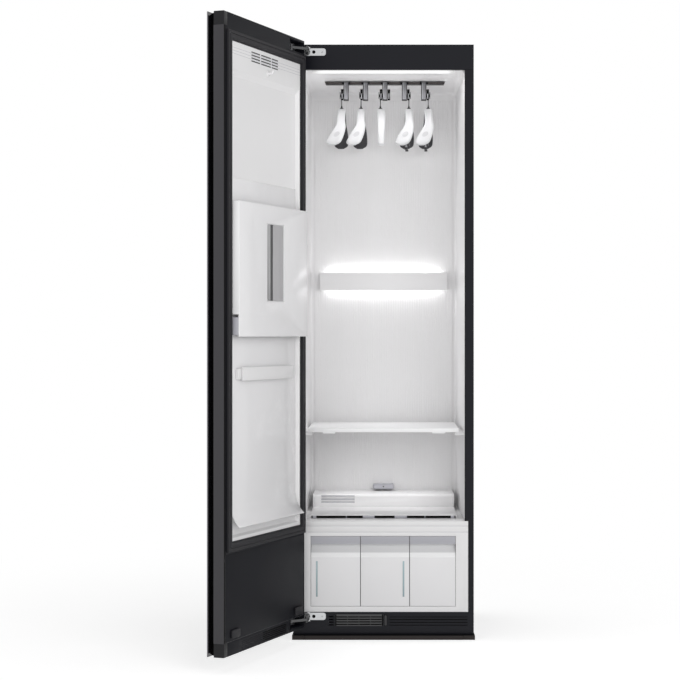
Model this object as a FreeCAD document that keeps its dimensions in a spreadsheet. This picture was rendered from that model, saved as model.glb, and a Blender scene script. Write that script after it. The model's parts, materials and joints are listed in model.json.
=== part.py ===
"""Clothes care steam cabinet, standing, with its door open.

Row frame in millimetres: X to the right, Y from the front frame to the back, Z up from the floor.
The origin is on the floor, midway between the sides, under the front plane of the frame.
Door pieces are drawn in the closed position and then turned about the hinge's pole.
"""
import FreeCAD, Part
import math
import os
import re
from types import SimpleNamespace

import Sketcher

# A number is free to change; a text that starts with = is worked out from other sizes.
SIZES = {
    # cabinet body
    "body_width": 595.0,
    "body_depth": 550.0,
    "body_top": 1960.0,
    "skin": 1.2,
    "flange": 16.0,
    "cover_depth": 16.0,
    "stile_width": 29.5,
    "low_stile_width": 18.5,
    "fascia_height": 83.0,
    "grille_top": 90.0,
    "grille_wall": 5.0,
    "machine_top": 389.0,
    "plinth_height": 15.5,
    "plinth_reach": 15.0,
    "plinth_side": 3.5,
    "plinth_back": 45.0,
    "plinth_cap": 36.0,
    "foot_radius": 20.0,
    "foot_x": "=body_width / 2 - 57.5",
    "foot_y": "=body_depth - 50",
    # cavity
    "liner_wall": 3.0,
    "liner_depth": "=body_depth - 86",
    "liner_taper": 9.0,
    "roof_drop": 12.0,
    "liner_fillet": 14.0,
    "shelf_z": 680.0,
    "shelf_thick": 13.0,
    "shelf_half": "=body_width / 2 - 47.5",
    "shelf_front": 45.0,
    "shelf_depth": "=body_depth - 140",
    "ledge_thick": 12.0,
    "ledge_overlap": 12.0,
    "flute_pitch": 6.2,
    "flute_count": 78.0,
    "flute_width": 3.6,
    "flute_depth": 1.2,
    "rear_panel_half": "=body_width / 2 - 52.5",
    "rear_panel_thick": 5.0,
    "rear_panel_top": "=body_top - 122",
    "duct_front": 300.0,
    "duct_height": 58.0,
    "duct_half": "=body_width / 2 - 53",
    "outlet_x": -158.0,
    "outlet_half": 58.0,
    "outlet_height": 25.0,
    "outlet_sill": 42.0,
    "nozzle_half": 37.0,
    "nozzle_lift": 6.0,
    "nozzle_height": 18.0,
    "nozzle_depth": 34.0,
    "tray_front": 64.0,
    "tray_half": "=body_width / 2 - 53.5",
    "tray_front_height": 11.5,
    "tray_rise": 4.0,
    "tray_wall": 3.0,
    "filter_half": "=body_width / 2 - 59.5",
    "filter_height": 7.0,
    "filter_depth": 128.0,
    "lamp_half": "=body_width / 2 - 61.5",
    "lamp_front": 18.0,
    "lamp_depth": 42.0,
    "lamp_thick": 5.0,
    "bar_half": "=body_width / 2 - 71.5",
    "bar_low": 1161.0,
    "bar_height": 63.0,
    "bar_cover": 8.0,
    "bar_standoff": 19.0,
    "bar_edge": 14.0,
    # hanger rail and hangers
    "rail_centre": 5.0,
    "rail_half": "=body_width / 2 - 91.5",
    "rail_y": 240.0,
    "rail_width": 24.0,
    "rail_height": 14.0,
    "rail_gap": 2.0,
    "stud_radius": 5.0,
    "stud_spread": 120.0,
    "shake": 12.0,
    "carriage_half": 150.0,
    "carriage_width": 39.0,
    "carriage_thick": 6.0,
    "carriage_z": "=body_top - 76",
    "holder_count": 5.0,
    "holder_pitch": 66.5,
    "holder_half": 9.0,
    "holder_drop": 54.0,
    "holder_depth": 16.0,
    "peg_radius": 5.0,
    "peg_drop": 32.0,
    "peg_reach": 13.0,
    "peg_stop": 3.0,
    "hook_wire": 2.2,
    "hook_radius": 9.2,
    "hook_slack": 1.7,
    "neck_drop": 52.0,
    "arm_reach": 180.0,
    "arm_drop": 123.0,
    "arm_sweep": 24.0,
    "hanger_twist": 3.6,
    "hanger_tilt": 4.0,
    "arm_thick": 16.0,
    "arm_neck_width": 23.0,
    "arm_tip_width": 46.0,
    "clip_bar_radius": 2.5,
    "clip_spread": 86.0,
    "clip_share": 0.6,
    # machine front, drawers and grille
    "panel_half": "=body_width / 2 - low_stile_width",
    "panel_thick": 3.0,
    "bay_left": "=body_width / 2 - 57.5",
    "bay_right": "=body_width / 2 - 59.5",
    "bay_low": 108.0,
    "bay_high": 340.0,
    "bay_depth": "=body_depth - 288",
    "bay_wall": 2.5,
    "first_split": -76.0,
    "second_split": 86.0,
    "drawer_gap": 1.0,
    "front_thick": 18.0,
    "strip_height": 26.0,
    "grip_height": 28.0,
    "grip_depth": 14.0,
    "bevel_height": 15.0,
    "bevel_depth": 5.0,
    "tank_depth": "=bay_depth - 30",
    "tank_wall": 2.5,
    "tank_height": 186.0,
    "tank_margin": 5.0,
    "lid_thick": 3.0,
    "insert_left": -160.0,
    "insert_right": -1.0,
    "insert_low": 43.0,
    "insert_height": 39.0,
    "insert_bars": 4.0,
    "latch_x": 7.0,
    "latch_half": 5.5,
    "latch_height": 38.0,
    "ridge_left": 21.0,
    "ridge_right": 276.0,
    "ridge_count": 4.0,
    "ridge_pitch": 9.0,
    "ridge_height": 2.4,
    # machine space
    "fan_x": "=body_width / 2 - 127.5",
    "fan_y": "=body_depth - 150",
    "fan_low": 175.0,
    "fan_height": 80.0,
    "fan_radius": 82.0,
    "fan_wheel": 70.0,
    "boiler_left": "=body_width / 2 - 217.5",
    "boiler_right": "=body_width / 2 - 47.5",
    "boiler_radius": 38.0,
    # door
    "door_open_angle": 110.9,
    "pole_x": "=0.1 - body_width / 2",
    "pole_y": -50.1,
    "door_gap": 8.0,
    "door_low": 50.0,
    "door_core": 34.0,
    "door_recess": 18.0,
    "glass_thick": 4.0,
    "grip_inset": 30.0,
    "core_wall": 3.0,
    "spacer_rim": 17.0,
    "liner_left": 35.5,
    "liner_right": "=body_width - 51.5",
    "liner_low": 388.5,
    "liner_high": "=body_top - 81",
    "liner_tray": 16.5,
    "recess_depth": 13.0,
    "recess_rim": 12.0,
    "recess_top": "=body_top - 164",
    "recess_slope": 18.0,
    "hook_across": 277.0,
    "hook_drop": 64.0,
    "gasket_rim": 32.0,
    "gasket_high": 7.5,
    "gasket_base": 3.0,
    "gasket_bulb": 18.0,
    "low_panel_low": 92.0,
    "low_panel_high": 353.0,
    "low_panel_thick": 2.5,
    "low_panel_inset": 7.5,
    "trim_left": 121.0,
    "trim_right": "=body_width - 25",
    "trim_depth": 18.0,
    "cap_width": 24.0,
    "cap_height": 41.0,
    "bumper_width": 57.0,
    "bumper_height": 25.0,
    "bumper_low": 100.0,
    "bumper_thick": 6.0,
    # trouser press on the door
    "plate_left": 49.5,
    "plate_right": "=body_width - 65.5",
    "plate_top": 1474.0,
    "plate_bend": 500.0,
    "plate_low": 427.0,
    "plate_flare": 20.0,
    "plate_thick": 3.0,
    "press_left": 37.5,
    "press_right": "=body_width - 49.5",
    "press_low": 998.0,
    "press_high": 1402.0,
    "press_proud": 27.0,
    "press_wall": 3.0,
    "press_skirt": 23.5,
    "press_notch": 66.0,
    "press_pivot_s": 40.8,
    "press_pivot_out": 14.0,
    "pin_radius": 3.0,
    "pin_play": 0.06,
    "window_left": 219.0,
    "window_width": 129.0,
    "window_low": 1106.0,
    "window_height": 240.0,
    "latch_width": 5.0,
    "bar_left": 103.5,
    "bar_right": "=body_width - 99.5",
    "hem_low": 865.0,
    "hem_height": 40.0,
    "hem_thick": 4.0,
    "hem_gap": 12.0,
    # hinge linkage
    "hinge_high": "=body_top - 25.5",
    "hinge_drop": "=body_top - 101.5",
    "hinge_plate_left": "=37.5 - body_width / 2",
    "hinge_plate_right": "=107.5 - body_width / 2",
    "hinge_plate_thick": 5.0,
    "hinge_plate_height": 24.0,
    "root_pin_x": "=49.5 - body_width / 2",
    "root_pin_y": -14.0,
    "door_pin_y": -34.0,
    "root_arm": 55.9,
    "door_arm": 58.9,
    "root_arm_turn": -92.8,
    "door_arm_turn": 33.1,
    "arm_half": 5.0,
    "pocket_left": 3.0,
    "pocket_right": 114.5,
    "pocket_depth": 32.0,
    "pocket_height": 35.0,
}

doc = FreeCAD.newDocument("steam_cabinet")
sheet = doc.addObject("Spreadsheet::Sheet", "sizes")
for row, name in enumerate(SIZES, start=1):
    sheet.set(f"A{row}", name)
    sheet.setAlias(f"B{row}", name)
for row, number in enumerate(SIZES.values(), start=1):
    sheet.set(f"B{row}", str(number))
doc.recompute()
v = SimpleNamespace(**{name: sheet.get(name) for name in SIZES})

WORD = re.compile(r"[a-z][a-z0-9_]*")
kept = {}


# ---------------------------------------------------------------- helpers

def linked(text):
    """An expression on the sheet: each alias in the text gets the sheet's name before it."""
    return WORD.sub(lambda m: f"sizes.{m.group()}" if m.group() in SIZES else m.group(), str(text))


def keep(label, obj):
    """Name a finished sub-part, so that it is checked and written."""
    obj.Label = label
    kept[label] = obj
    return obj


def block(name, x, y, z):
    """A box between (low, high) pairs of expressions."""
    obj = doc.addObject("Part::Box", name)
    for prop, base, (low, high) in zip(("Length", "Width", "Height"), "xyz", (x, y, z)):
        obj.setExpression(prop, linked(f"({high}) - ({low})"))
        obj.setExpression(f"Placement.Base.{base}", linked(low))
    return obj


TURNS = {
    "x": FreeCAD.Rotation(FreeCAD.Vector(0, 1, 0), 90),
    "y": FreeCAD.Rotation(FreeCAD.Vector(1, 0, 0), -90),
    "z": FreeCAD.Rotation(),
}


def rod(name, axis, centre, radius, span, sides=0):
    """A cylinder, or a prism of that many sides, along an axis through the other two coordinates."""
    obj = doc.addObject("Part::Prism" if sides else "Part::Cylinder", name)
    obj.Placement = FreeCAD.Placement(FreeCAD.Vector(), TURNS[axis])
    places = list(centre)
    places.insert("xyz".index(axis), span[0])
    for base, place in zip("xyz", places):
        obj.setExpression(f"Placement.Base.{base}", linked(place))
    if sides:
        obj.Polygon = sides
    obj.setExpression("Circumradius" if sides else "Radius", linked(radius))
    obj.setExpression("Height", linked(f"({span[1]}) - ({span[0]})"))
    return obj


def fuse(name, shapes):
    obj = doc.addObject("Part::MultiFuse", name)
    obj.Shapes = shapes
    return obj


def cut(name, base, tools):
    """Take the tools away from the base."""
    obj = doc.addObject("Part::Cut", name)
    obj.Base = base
    obj.Tool = tools[0] if len(tools) == 1 else fuse(f"{name}_tools", tools)
    return obj


def group(name, pieces):
    """Separate solids that share one node."""
    obj = doc.addObject("Part::Compound", name)
    obj.Links = pieces
    return obj


def rounded(name, base, radius, wanted, kind="Part::Fillet"):
    """Fillet, or chamfer, the edges that satisfy the test."""
    doc.recompute()
    obj = doc.addObject(kind, name)
    obj.Base = base
    obj.Edges = [
        (number, radius, radius)
        for number, edge in enumerate(base.Shape.Edges, start=1)
        if wanted(edge)
    ]
    return obj


def runs_along(edge, axis):
    ends = [vertex.Point for vertex in edge.Vertexes]
    if len(ends) < 2:
        return False
    step = ends[1] - ends[0]
    return abs(getattr(step, axis)) > 0.99 * step.Length


def plane_of(body, role):
    return next(part for part in body.Origin.OriginFeatures if part.Role == role)


def sketch(body, plane, loops, offset):
    """A sketch of closed outlines, each corner held by two expressions from the origin."""
    made = body.newObject("Sketcher::SketchObject", f"{body.Name}_sketch")
    made.AttachmentSupport = [(plane_of(body, plane), "")]
    made.MapMode = "FlatFace"
    made.setExpression("AttachmentOffset.Base.z", linked(offset))
    first = 0
    for corners in loops:
        count = len(corners)
        rough = [
            FreeCAD.Vector(100 * math.cos(math.tau * k / count), 100 * math.sin(math.tau * k / count), 0)
            for k in range(count)
        ]
        for k in range(count):
            made.addGeometry(Part.LineSegment(rough[k], rough[(k + 1) % count]), False)
        for k in range(count):
            following = first + (k + 1) % count
            made.addConstraint(Sketcher.Constraint("Coincident", first + k, 2, following, 1))
        for k, (across, up) in enumerate(corners):
            for kind, place, now in (("DistanceX", across, rough[k].x), ("DistanceY", up, rough[k].y)):
                held = made.addConstraint(Sketcher.Constraint(kind, -1, 1, first + k, 1, now))
                made.setExpression(f"Constraints[{held}]", linked(place))
        first += count
    return made


def pad(body, plane, loops, low, high):
    """Pad outlines from low to high along the plane's axis."""
    offset = f"-({high})" if plane == "XZ_Plane" else low
    feature = body.newObject("PartDesign::Pad", f"{body.Name}_pad")
    feature.Profile = sketch(body, plane, loops, offset)
    feature.setExpression("Length", linked(f"({high}) - ({low})"))
    return feature


def pocket(body, plane, loops, low, high):
    """Cut outlines out between low and high along the plane's axis."""
    offset = f"-({low})" if plane == "XZ_Plane" else high
    feature = body.newObject("PartDesign::Pocket", f"{body.Name}_pocket")
    feature.Profile = sketch(body, plane, loops, offset)
    feature.setExpression("Length", linked(f"({high}) - ({low})"))
    return feature


def repeat(body, feature, role, step, count):
    """Repeat a feature along one of the body's axes."""
    pattern = body.newObject("PartDesign::LinearPattern", f"{body.Name}_pattern")
    pattern.Originals = [feature]
    pattern.Direction = (plane_of(body, role), [""])
    pattern.setExpression("Length", linked(f"({step}) * (({count}) - 1)"))
    pattern.setExpression("Occurrences", linked(count))
    body.Tip = pattern
    return pattern


def solid_body(label):
    return doc.addObject("PartDesign::Body", f"{label}_body")


def frame_loop(left, right, low, high):
    """The four corners of a rectangle, as expressions."""
    return [(left, low), (right, low), (right, high), (left, high)]


def on_door(label, obj):
    """Keep a piece drawn in the closed position, turned about the pole to the open rest."""
    obj.Placement = FreeCAD.Placement(FreeCAD.Vector(), FreeCAD.Rotation(FreeCAD.Vector(0, 0, 1), -90))
    obj.setExpression("Placement.Rotation.Angle", linked("-door_open_angle"))
    turned_x = "pole_x * cos(door_open_angle) + pole_y * sin(door_open_angle)"
    turned_y = "pole_y * cos(door_open_angle) - pole_x * sin(door_open_angle)"
    obj.setExpression("Placement.Base.x", linked(f"pole_x - ({turned_x})"))
    obj.setExpression("Placement.Base.y", linked(f"pole_y - ({turned_y})"))
    return keep(label, obj)


def along(distance):
    """X in the closed position of a point at a distance from the door's hinge edge."""
    return f"{distance} - body_width / 2"


# ---------------------------------------------------------------- cabinet body

HALF = "body_width / 2"
SHEET_HALF = "body_width / 2 - skin"
BACK_INNER = "body_depth - 2 * skin"


def side_panel(side, sign):
    """A steel side with a flange turned in at the front and the back."""
    body = solid_body(f"side_panel_{side}")
    outline = [
        (HALF, "cover_depth"), (HALF, "body_depth"),
        (f"{HALF} - flange", "body_depth"), (f"{HALF} - flange", "body_depth - skin"),
        (SHEET_HALF, "body_depth - skin"), (SHEET_HALF, "cover_depth + skin"),
        (f"{HALF} - flange", "cover_depth + skin"), (f"{HALF} - flange", "cover_depth"),
    ]
    outline = [(f"{sign} * ({across})", back) for across, back in outline]
    pad(body, "XY_Plane", [outline], "plinth_height", "body_top")
    return keep(f"side_panel_{side}", body)


def top_panel():
    """The roof sheet, with its front and back edges turned down."""
    body = solid_body("top_panel")
    front, back = "cover_depth + skin", BACK_INNER
    outline = [
        (front, "body_top"), (front, "body_top - flange"),
        (f"{front} + skin", "body_top - flange"), (f"{front} + skin", "body_top - skin"),
        (f"{back} - skin", "body_top - skin"), (f"{back} - skin", "body_top - flange"),
        (back, "body_top - flange"), (back, "body_top"),
    ]
    pad(body, "YZ_Plane", [outline], f"-({SHEET_HALF})", SHEET_HALF)
    return keep("top_panel", body)


def back_panel():
    """The back sheet, with air slots for the machine space and three shallow stiffening beads."""
    body = solid_body("back_panel")
    pad(body, "XZ_Plane", [frame_loop(f"-({SHEET_HALF})", SHEET_HALF, "plinth_height", "body_top")],
        BACK_INNER, "body_depth - skin")
    slot_low, slot_left = 150.0, -215.0
    slot_long, slot_high, slot_step, slot_count = 190.0, 5.0, 14.0, 10
    slot = pocket(body, "XZ_Plane",
                  [frame_loop(slot_left, slot_left + slot_long, slot_low, slot_low + slot_high)],
                  f"{BACK_INNER} - 1", "body_depth")
    repeat(body, slot, "Z_Axis", slot_step, slot_count)
    return keep("back_panel", body)


def base_pan():
    """The tray that carries the machinery, on the plinth and the back feet."""
    tray = block("pan_block", (f"-({SHEET_HALF})", SHEET_HALF), ("cover_depth + skin", BACK_INNER),
                 ("plinth_height", "plinth_height + flange"))
    well = block("pan_well", (f"-({SHEET_HALF}) + skin", f"{SHEET_HALF} - skin"),
                 ("cover_depth + 2 * skin", f"{BACK_INNER} - skin"),
                 ("plinth_height + skin", "plinth_height + flange + 1"))
    return keep("base_pan", cut("pan_cut", tray, [well]))


def frame_stiles():
    """The two upright front covers; each is narrower beside the machine panel."""
    pieces = []
    for side, sign in (("left", -1), ("right", 1)):
        body = solid_body(f"stile_{side}")
        outline = [
            (HALF, "grille_top"), (HALF, "body_top - fascia_height"),
            (f"{HALF} - stile_width", "body_top - fascia_height"), (f"{HALF} - stile_width", "machine_top"),
            (f"{HALF} - low_stile_width", "machine_top"), (f"{HALF} - low_stile_width", "grille_top"),
        ]
        outline = [(f"{sign} * ({across})", up) for across, up in outline]
        pad(body, "XZ_Plane", [outline], 0, "cover_depth")
        pieces.append(body)
    return keep("frame_stiles", group("stiles_group", pieces))


def top_fascia():
    cover = block("fascia_block", (f"-({HALF})", HALF), (0, "cover_depth"),
                  ("body_top - fascia_height", "body_top"))
    edge = 1.5
    return keep("top_fascia", rounded("fascia_round", cover, edge,
                                      lambda e: runs_along(e, "x") and e.Vertexes[0].Point.y < 1))


def plinth():
    """The foot bar across the front, with a cap at each end over the levelling screws."""
    bar = solid_body("plinth_bar")
    lip = 2.5
    outline = [
        ("-plinth_reach", 0), ("-plinth_reach", f"plinth_height - {lip}"),
        (f"{lip} - plinth_reach", "plinth_height"), ("plinth_back", "plinth_height"), ("plinth_back", 0),
    ]
    reach = f"{HALF} + plinth_side"
    pad(bar, "YZ_Plane", [outline], f"plinth_cap - ({reach})", f"{reach} - plinth_cap")
    pieces = [bar]
    for side, sign in (("left", -1), ("right", 1)):
        spans = (f"{sign} * ({reach})", f"{sign} * ({reach} - plinth_cap)")
        pieces.append(block(f"plinth_cap_{side}", spans if sign < 0 else spans[::-1],
                            ("1 - plinth_reach", "plinth_back"), (0, "plinth_height - 1")))
    return keep("plinth", group("plinth_group", pieces))


def rear_feet():
    pieces = []
    for side, sign in (("left", -1), ("right", 1)):
        pad_high = 9.0
        foot = rod(f"foot_{side}", "z", (f"{sign} * foot_x", "foot_y"), "foot_radius", (0, pad_high), 20)
        stem = rod(f"stem_{side}", "z", (f"{sign} * foot_x", "foot_y"), "foot_radius / 2",
                   (pad_high, "plinth_height"), 12)
        pieces.append(fuse(f"foot_fuse_{side}", [foot, stem]))
    return keep("rear_feet", group("feet_group", pieces))


# ---------------------------------------------------------------- cavity

CAVITY_FLOOR = "machine_top + liner_wall"
CAVITY_ROOF = "body_top - fascia_height"
MOUTH_HALF = "body_width / 2 - stile_width"
LINER_BACK = "cover_depth + liner_depth"


def tapered(name, grow, low, high_front):
    """A room that narrows towards the back, grown on all sides by a wall."""
    room = doc.addObject("Part::Wedge", name)
    back_half = f"{MOUTH_HALF} - liner_taper + {grow}"
    bounds = {
        "Xmin": f"-({MOUTH_HALF} + {grow})", "Xmax": f"{MOUTH_HALF} + {grow}",
        "X2min": f"-({back_half})", "X2max": back_half,
        "Ymin": "cover_depth", "Ymax": f"{LINER_BACK} + {grow}",
        "Zmin": low, "Zmax": high_front, "Z2min": low, "Z2max": f"{high_front} - roof_drop",
    }
    for prop, place in bounds.items():
        room.setExpression(prop, linked(place))
    return room


def cavity_liner():
    """The white moulded room: tapered walls, a sloping roof, shelf ledges and slots for the rail."""
    outer = tapered("liner_outer", "liner_wall", "machine_top", f"{CAVITY_ROOF} + liner_wall")
    inner = tapered("liner_inner", "0", CAVITY_FLOOR, CAVITY_ROOF)
    doc.recompute()
    back = v.cover_depth + v.liner_depth - 0.1

    def upright_back(edge):
        return min(vertex.Point.y for vertex in edge.Vertexes) > back and runs_along(edge, "z")

    def roof_edge(edge):
        points = [vertex.Point for vertex in edge.Vertexes]
        high = min(point.z for point in points) > v.body_top - v.fascia_height - v.roof_drop - 0.1
        return high and (min(point.y for point in points) > back or runs_along(edge, "y"))

    softened = rounded("liner_corners", inner, v.liner_fillet, upright_back)
    softened = rounded("liner_roof_corners", softened, v.liner_fillet, lambda e: roof_edge(e) and len(e.Vertexes) > 1
                       and runs_along(e, "y"))
    ledges = []
    for side, sign in (("left", -1), ("right", 1)):
        spans = (f"{sign} * (shelf_half - ledge_overlap)", f"{sign} * ({MOUTH_HALF} + 1)")
        ledges.append(block(f"ledge_{side}", spans if sign > 0 else spans[::-1],
                            ("shelf_front + 25", "shelf_front + shelf_depth - 20"),
                            ("shelf_z - ledge_thick", "shelf_z")))
    slots = [
        block(f"rail_slot_{number}",
              (f"rail_centre + {sign} * stud_spread - stud_radius - shake - 2",
               f"rail_centre + {sign} * stud_spread + stud_radius + shake + 2"),
              ("rail_y - stud_radius - 2", "rail_y + stud_radius + 2"),
              (f"{CAVITY_ROOF} - roof_drop - 5", f"{CAVITY_ROOF} + liner_wall + 2"))
        for number, sign in enumerate((-1, 1))
    ]
    lamp_seat = block("lamp_seat", ("-lamp_half", "lamp_half"), ("lamp_front", "lamp_front + lamp_depth"),
                      (f"{CAVITY_ROOF} - roof_drop", f"{CAVITY_ROOF} + 0.8"))
    shell = cut("liner_shell", outer, [softened] + slots + [lamp_seat])
    return keep("cavity_liner", fuse("liner_fuse", [shell] + ledges))


def rear_wall_panel():
    """The back wall's sheet, fluted from side to side."""
    body = solid_body("rear_wall_panel")
    front = f"{LINER_BACK} - rear_panel_thick"
    low = f"{CAVITY_FLOOR} + duct_height"
    pad(body, "XY_Plane", [frame_loop("-rear_panel_half", "rear_panel_half", front, LINER_BACK)],
        low, "rear_panel_top")
    start = "-(flute_count - 1) * flute_pitch / 2"
    flute = [
        (f"{start} - flute_width / 2", f"{front} - 1"), (f"{start} + flute_width / 2", f"{front} - 1"),
        (f"{start} + flute_width / 2", front), (start, f"{front} + flute_depth"),
        (f"{start} - flute_width / 2", front),
    ]
    groove = pocket(body, "XY_Plane", [flute], f"{low} - 1", "rear_panel_top + 1")
    repeat(body, groove, "X_Axis", "flute_pitch", "flute_count")
    return keep("rear_wall_panel", body)


def duct_housing():
    """The low block along the back wall that holds the air duct and the steam outlet."""
    shell = block("duct_block", ("-duct_half", "duct_half"), ("duct_front", LINER_BACK),
                  (CAVITY_FLOOR, f"{CAVITY_FLOOR} + duct_height"))
    front_round = 9.0
    softened = rounded("duct_round", shell, front_round,
                       lambda e: runs_along(e, "x") and e.Vertexes[0].Point.z > v.machine_top + v.duct_height
                       and e.Vertexes[0].Point.y < v.duct_front + 1)
    outlet = block("duct_outlet", ("outlet_x - outlet_half", "outlet_x + outlet_half"),
                   ("duct_front - 1", "duct_front + 40"),
                   (f"{CAVITY_FLOOR} + outlet_sill - outlet_height / 2",
                    f"{CAVITY_FLOOR} + outlet_sill + outlet_height / 2"))
    return keep("duct_housing", cut("duct_cut", softened, [outlet]))


def outlet_grille():
    """A framed grille of level bars in the air outlet."""
    body = solid_body("outlet_grille")
    low = f"{CAVITY_FLOOR} + outlet_sill - outlet_height / 2"
    left, right = "outlet_x - outlet_half", "outlet_x + outlet_half"
    rim, gap, bar_count = 2.0, 4.5, 3
    pad(body, "XZ_Plane", [frame_loop(left, right, low, f"{low} + outlet_height")],
        "duct_front + 0.5", "duct_front + 8")
    step = f"(outlet_height - {2 * rim}) / {bar_count}"
    slot = pocket(body, "XZ_Plane", [frame_loop(f"{left} + {rim}", f"{right} - {rim}", f"{low} + {rim}",
                                                f"{low} + {rim} + {gap}")],
                  "duct_front", "duct_front + 9")
    repeat(body, slot, "Z_Axis", step, bar_count)
    return keep("outlet_grille", body)


def steam_nozzle():
    """The rounded steam outlet on the back wall, just above the duct housing."""
    top = f"{CAVITY_FLOOR} + duct_height + nozzle_lift"
    front = f"{LINER_BACK} - rear_panel_thick - nozzle_depth"
    hood = block("nozzle_block", ("-nozzle_half", "nozzle_half"), (front, f"{LINER_BACK} - rear_panel_thick"),
                 (top, f"{top} + nozzle_height"))
    edge = 6.0
    hood = rounded("nozzle_edge", hood, edge,
                   lambda e: e.CenterOfMass.z > v.machine_top + v.liner_wall + v.duct_height + 1
                   and e.CenterOfMass.y < v.cover_depth + v.liner_depth - v.rear_panel_thick - 1,
                   "Part::Chamfer")
    mouth = block("nozzle_mouth", ("8 - nozzle_half", "nozzle_half - 8"), (f"{front} - 1", f"{front} + 20"),
                  (f"{top} + 6", f"{top} + nozzle_height - 7"))
    return keep("steam_nozzle", cut("nozzle_cut", hood, [mouth]))


def floor_tray():
    """The sloping lip in front of the duct housing; the lint filter slides in under it."""
    body = solid_body("floor_tray")
    low = CAVITY_FLOOR
    outline = [("tray_front", low), ("duct_front", low),
               ("duct_front", f"{low} + tray_front_height + tray_rise"),
               ("tray_front", f"{low} + tray_front_height")]
    pad(body, "YZ_Plane", [outline], "-tray_half", "tray_half")
    room = [("tray_front - 1", f"{low} - 1"), ("duct_front + 1", f"{low} - 1"),
            ("duct_front + 1", f"{low} + tray_front_height + tray_rise - tray_wall"),
            ("tray_front - 1", f"{low} + tray_front_height - tray_wall")]
    pocket(body, "YZ_Plane", [room], "tray_wall - tray_half", "tray_half - tray_wall")
    return keep("floor_tray", body)


def lint_filter():
    """A flat frame with three mesh windows and two finger bridges at the front."""
    body = solid_body("lint_filter")
    low, high = f"{CAVITY_FLOOR} + 0.4", f"{CAVITY_FLOOR} + 0.4 + filter_height"
    front, back = "tray_front + 2", "tray_front + 2 + filter_depth"
    pad(body, "XY_Plane", [frame_loop("-filter_half", "filter_half", front, back)], low, high)
    rim, window_count = 10.0, 3
    step = f"(2 * filter_half - {rim}) / {window_count}"
    room = pocket(body, "XY_Plane",
                  [frame_loop(f"{rim} - filter_half", f"{step} - filter_half", f"{front} + 22", f"{back} - {rim}")],
                  f"{low} + 1.5", f"{high} + 1")
    repeat(body, room, "X_Axis", step, window_count)
    return keep("lint_filter", body)


def ceiling_lamp():
    lamp = block("lamp_block", ("-lamp_half", "lamp_half"), ("lamp_front", "lamp_front + lamp_depth"),
                 (f"{CAVITY_ROOF} + 0.8 - lamp_thick", f"{CAVITY_ROOF} + 0.8"))
    edge = 1.2
    return keep("ceiling_lamp", rounded("lamp_round", lamp, edge,
                                        lambda e: e.CenterOfMass.z < v.body_top - v.fascia_height - 3.5))


def light_bar():
    """A lamp cover that stands off the back wall on a narrower base, so light washes up and down."""
    wall = f"{LINER_BACK} - rear_panel_thick"
    cover = block("bar_cover_block", ("-bar_half", "bar_half"),
                  (f"{wall} - bar_standoff - bar_cover", f"{wall} - bar_standoff"),
                  ("bar_low", "bar_low + bar_height"))
    corner = 4.0
    cover = rounded("bar_cover_round", cover, corner, lambda e: runs_along(e, "y"))
    base = block("bar_base", ("bar_edge - bar_half", "bar_half - bar_edge"),
                 (f"{wall} - bar_standoff", wall),
                 ("bar_low + bar_edge", "bar_low + bar_height - bar_edge"))
    return keep("light_bar", fuse("bar_fuse", [cover, base]))


def shelf():
    """A lift-out shelf: a shallow pan upside down, with two clips under its front edge."""
    low, high = "shelf_z", "shelf_z + shelf_thick"
    back = "shelf_front + shelf_depth"
    slab = block("shelf_block", ("-shelf_half", "shelf_half"), ("shelf_front", back), (low, high))
    corner, rim, roof = 3.0, 16.0, 3.0
    slab = rounded("shelf_round", slab, corner,
                   lambda e: e.CenterOfMass.z > v.shelf_z + v.shelf_thick - 0.1 and runs_along(e, "x"))
    hollow = block("shelf_hollow", (f"{rim} - shelf_half", f"shelf_half - {rim}"),
                   (f"shelf_front + {rim}", f"{back} - {rim}"), (f"{low} - 1", f"{high} - {roof}"))
    clips = [
        block(f"shelf_clip_{number}", (f"{place} - 20", f"{place} + 20"), ("shelf_front + 2", "shelf_front + 14"),
              (f"{low} - 5", low))
        for number, place in enumerate((-181, 182))
    ]
    return keep("shelf", fuse("shelf_fuse", [cut("shelf_cut", slab, [hollow])] + clips))


# ---------------------------------------------------------------- hanger rail

RAIL_TOP = f"{CAVITY_ROOF} - roof_drop / 2 - rail_gap"
RAIL_LOW = f"{RAIL_TOP} - rail_height"


def hanger_rail():
    """The shaking rail, on two studs that pass through the roof to a sliding carriage."""
    bar = solid_body("rail_bar")
    slant = "rail_height / 3"
    outline = [
        (f"rail_centre - rail_half + {slant}", RAIL_LOW), (f"rail_centre + rail_half - {slant}", RAIL_LOW),
        ("rail_centre + rail_half", RAIL_TOP), ("rail_centre - rail_half", RAIL_TOP),
    ]
    pad(bar, "XZ_Plane", [outline], "rail_y - rail_width / 2", "rail_y + rail_width / 2")
    studs = [
        rod(f"rail_stud_{number}", "z", (f"rail_centre + {sign} * stud_spread", "rail_y"), "stud_radius",
            (f"{RAIL_TOP} - 1", "carriage_z + 1"))
        for number, sign in enumerate((-1, 1))
    ]
    carriage = block("rail_carriage", ("rail_centre - carriage_half", "rail_centre + carriage_half"),
                     ("rail_y - carriage_width / 2", "rail_y + carriage_width / 2"),
                     ("carriage_z", "carriage_z + carriage_thick"))
    return keep("hanger_rail", fuse("rail_fuse", [bar, carriage] + studs))


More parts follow.
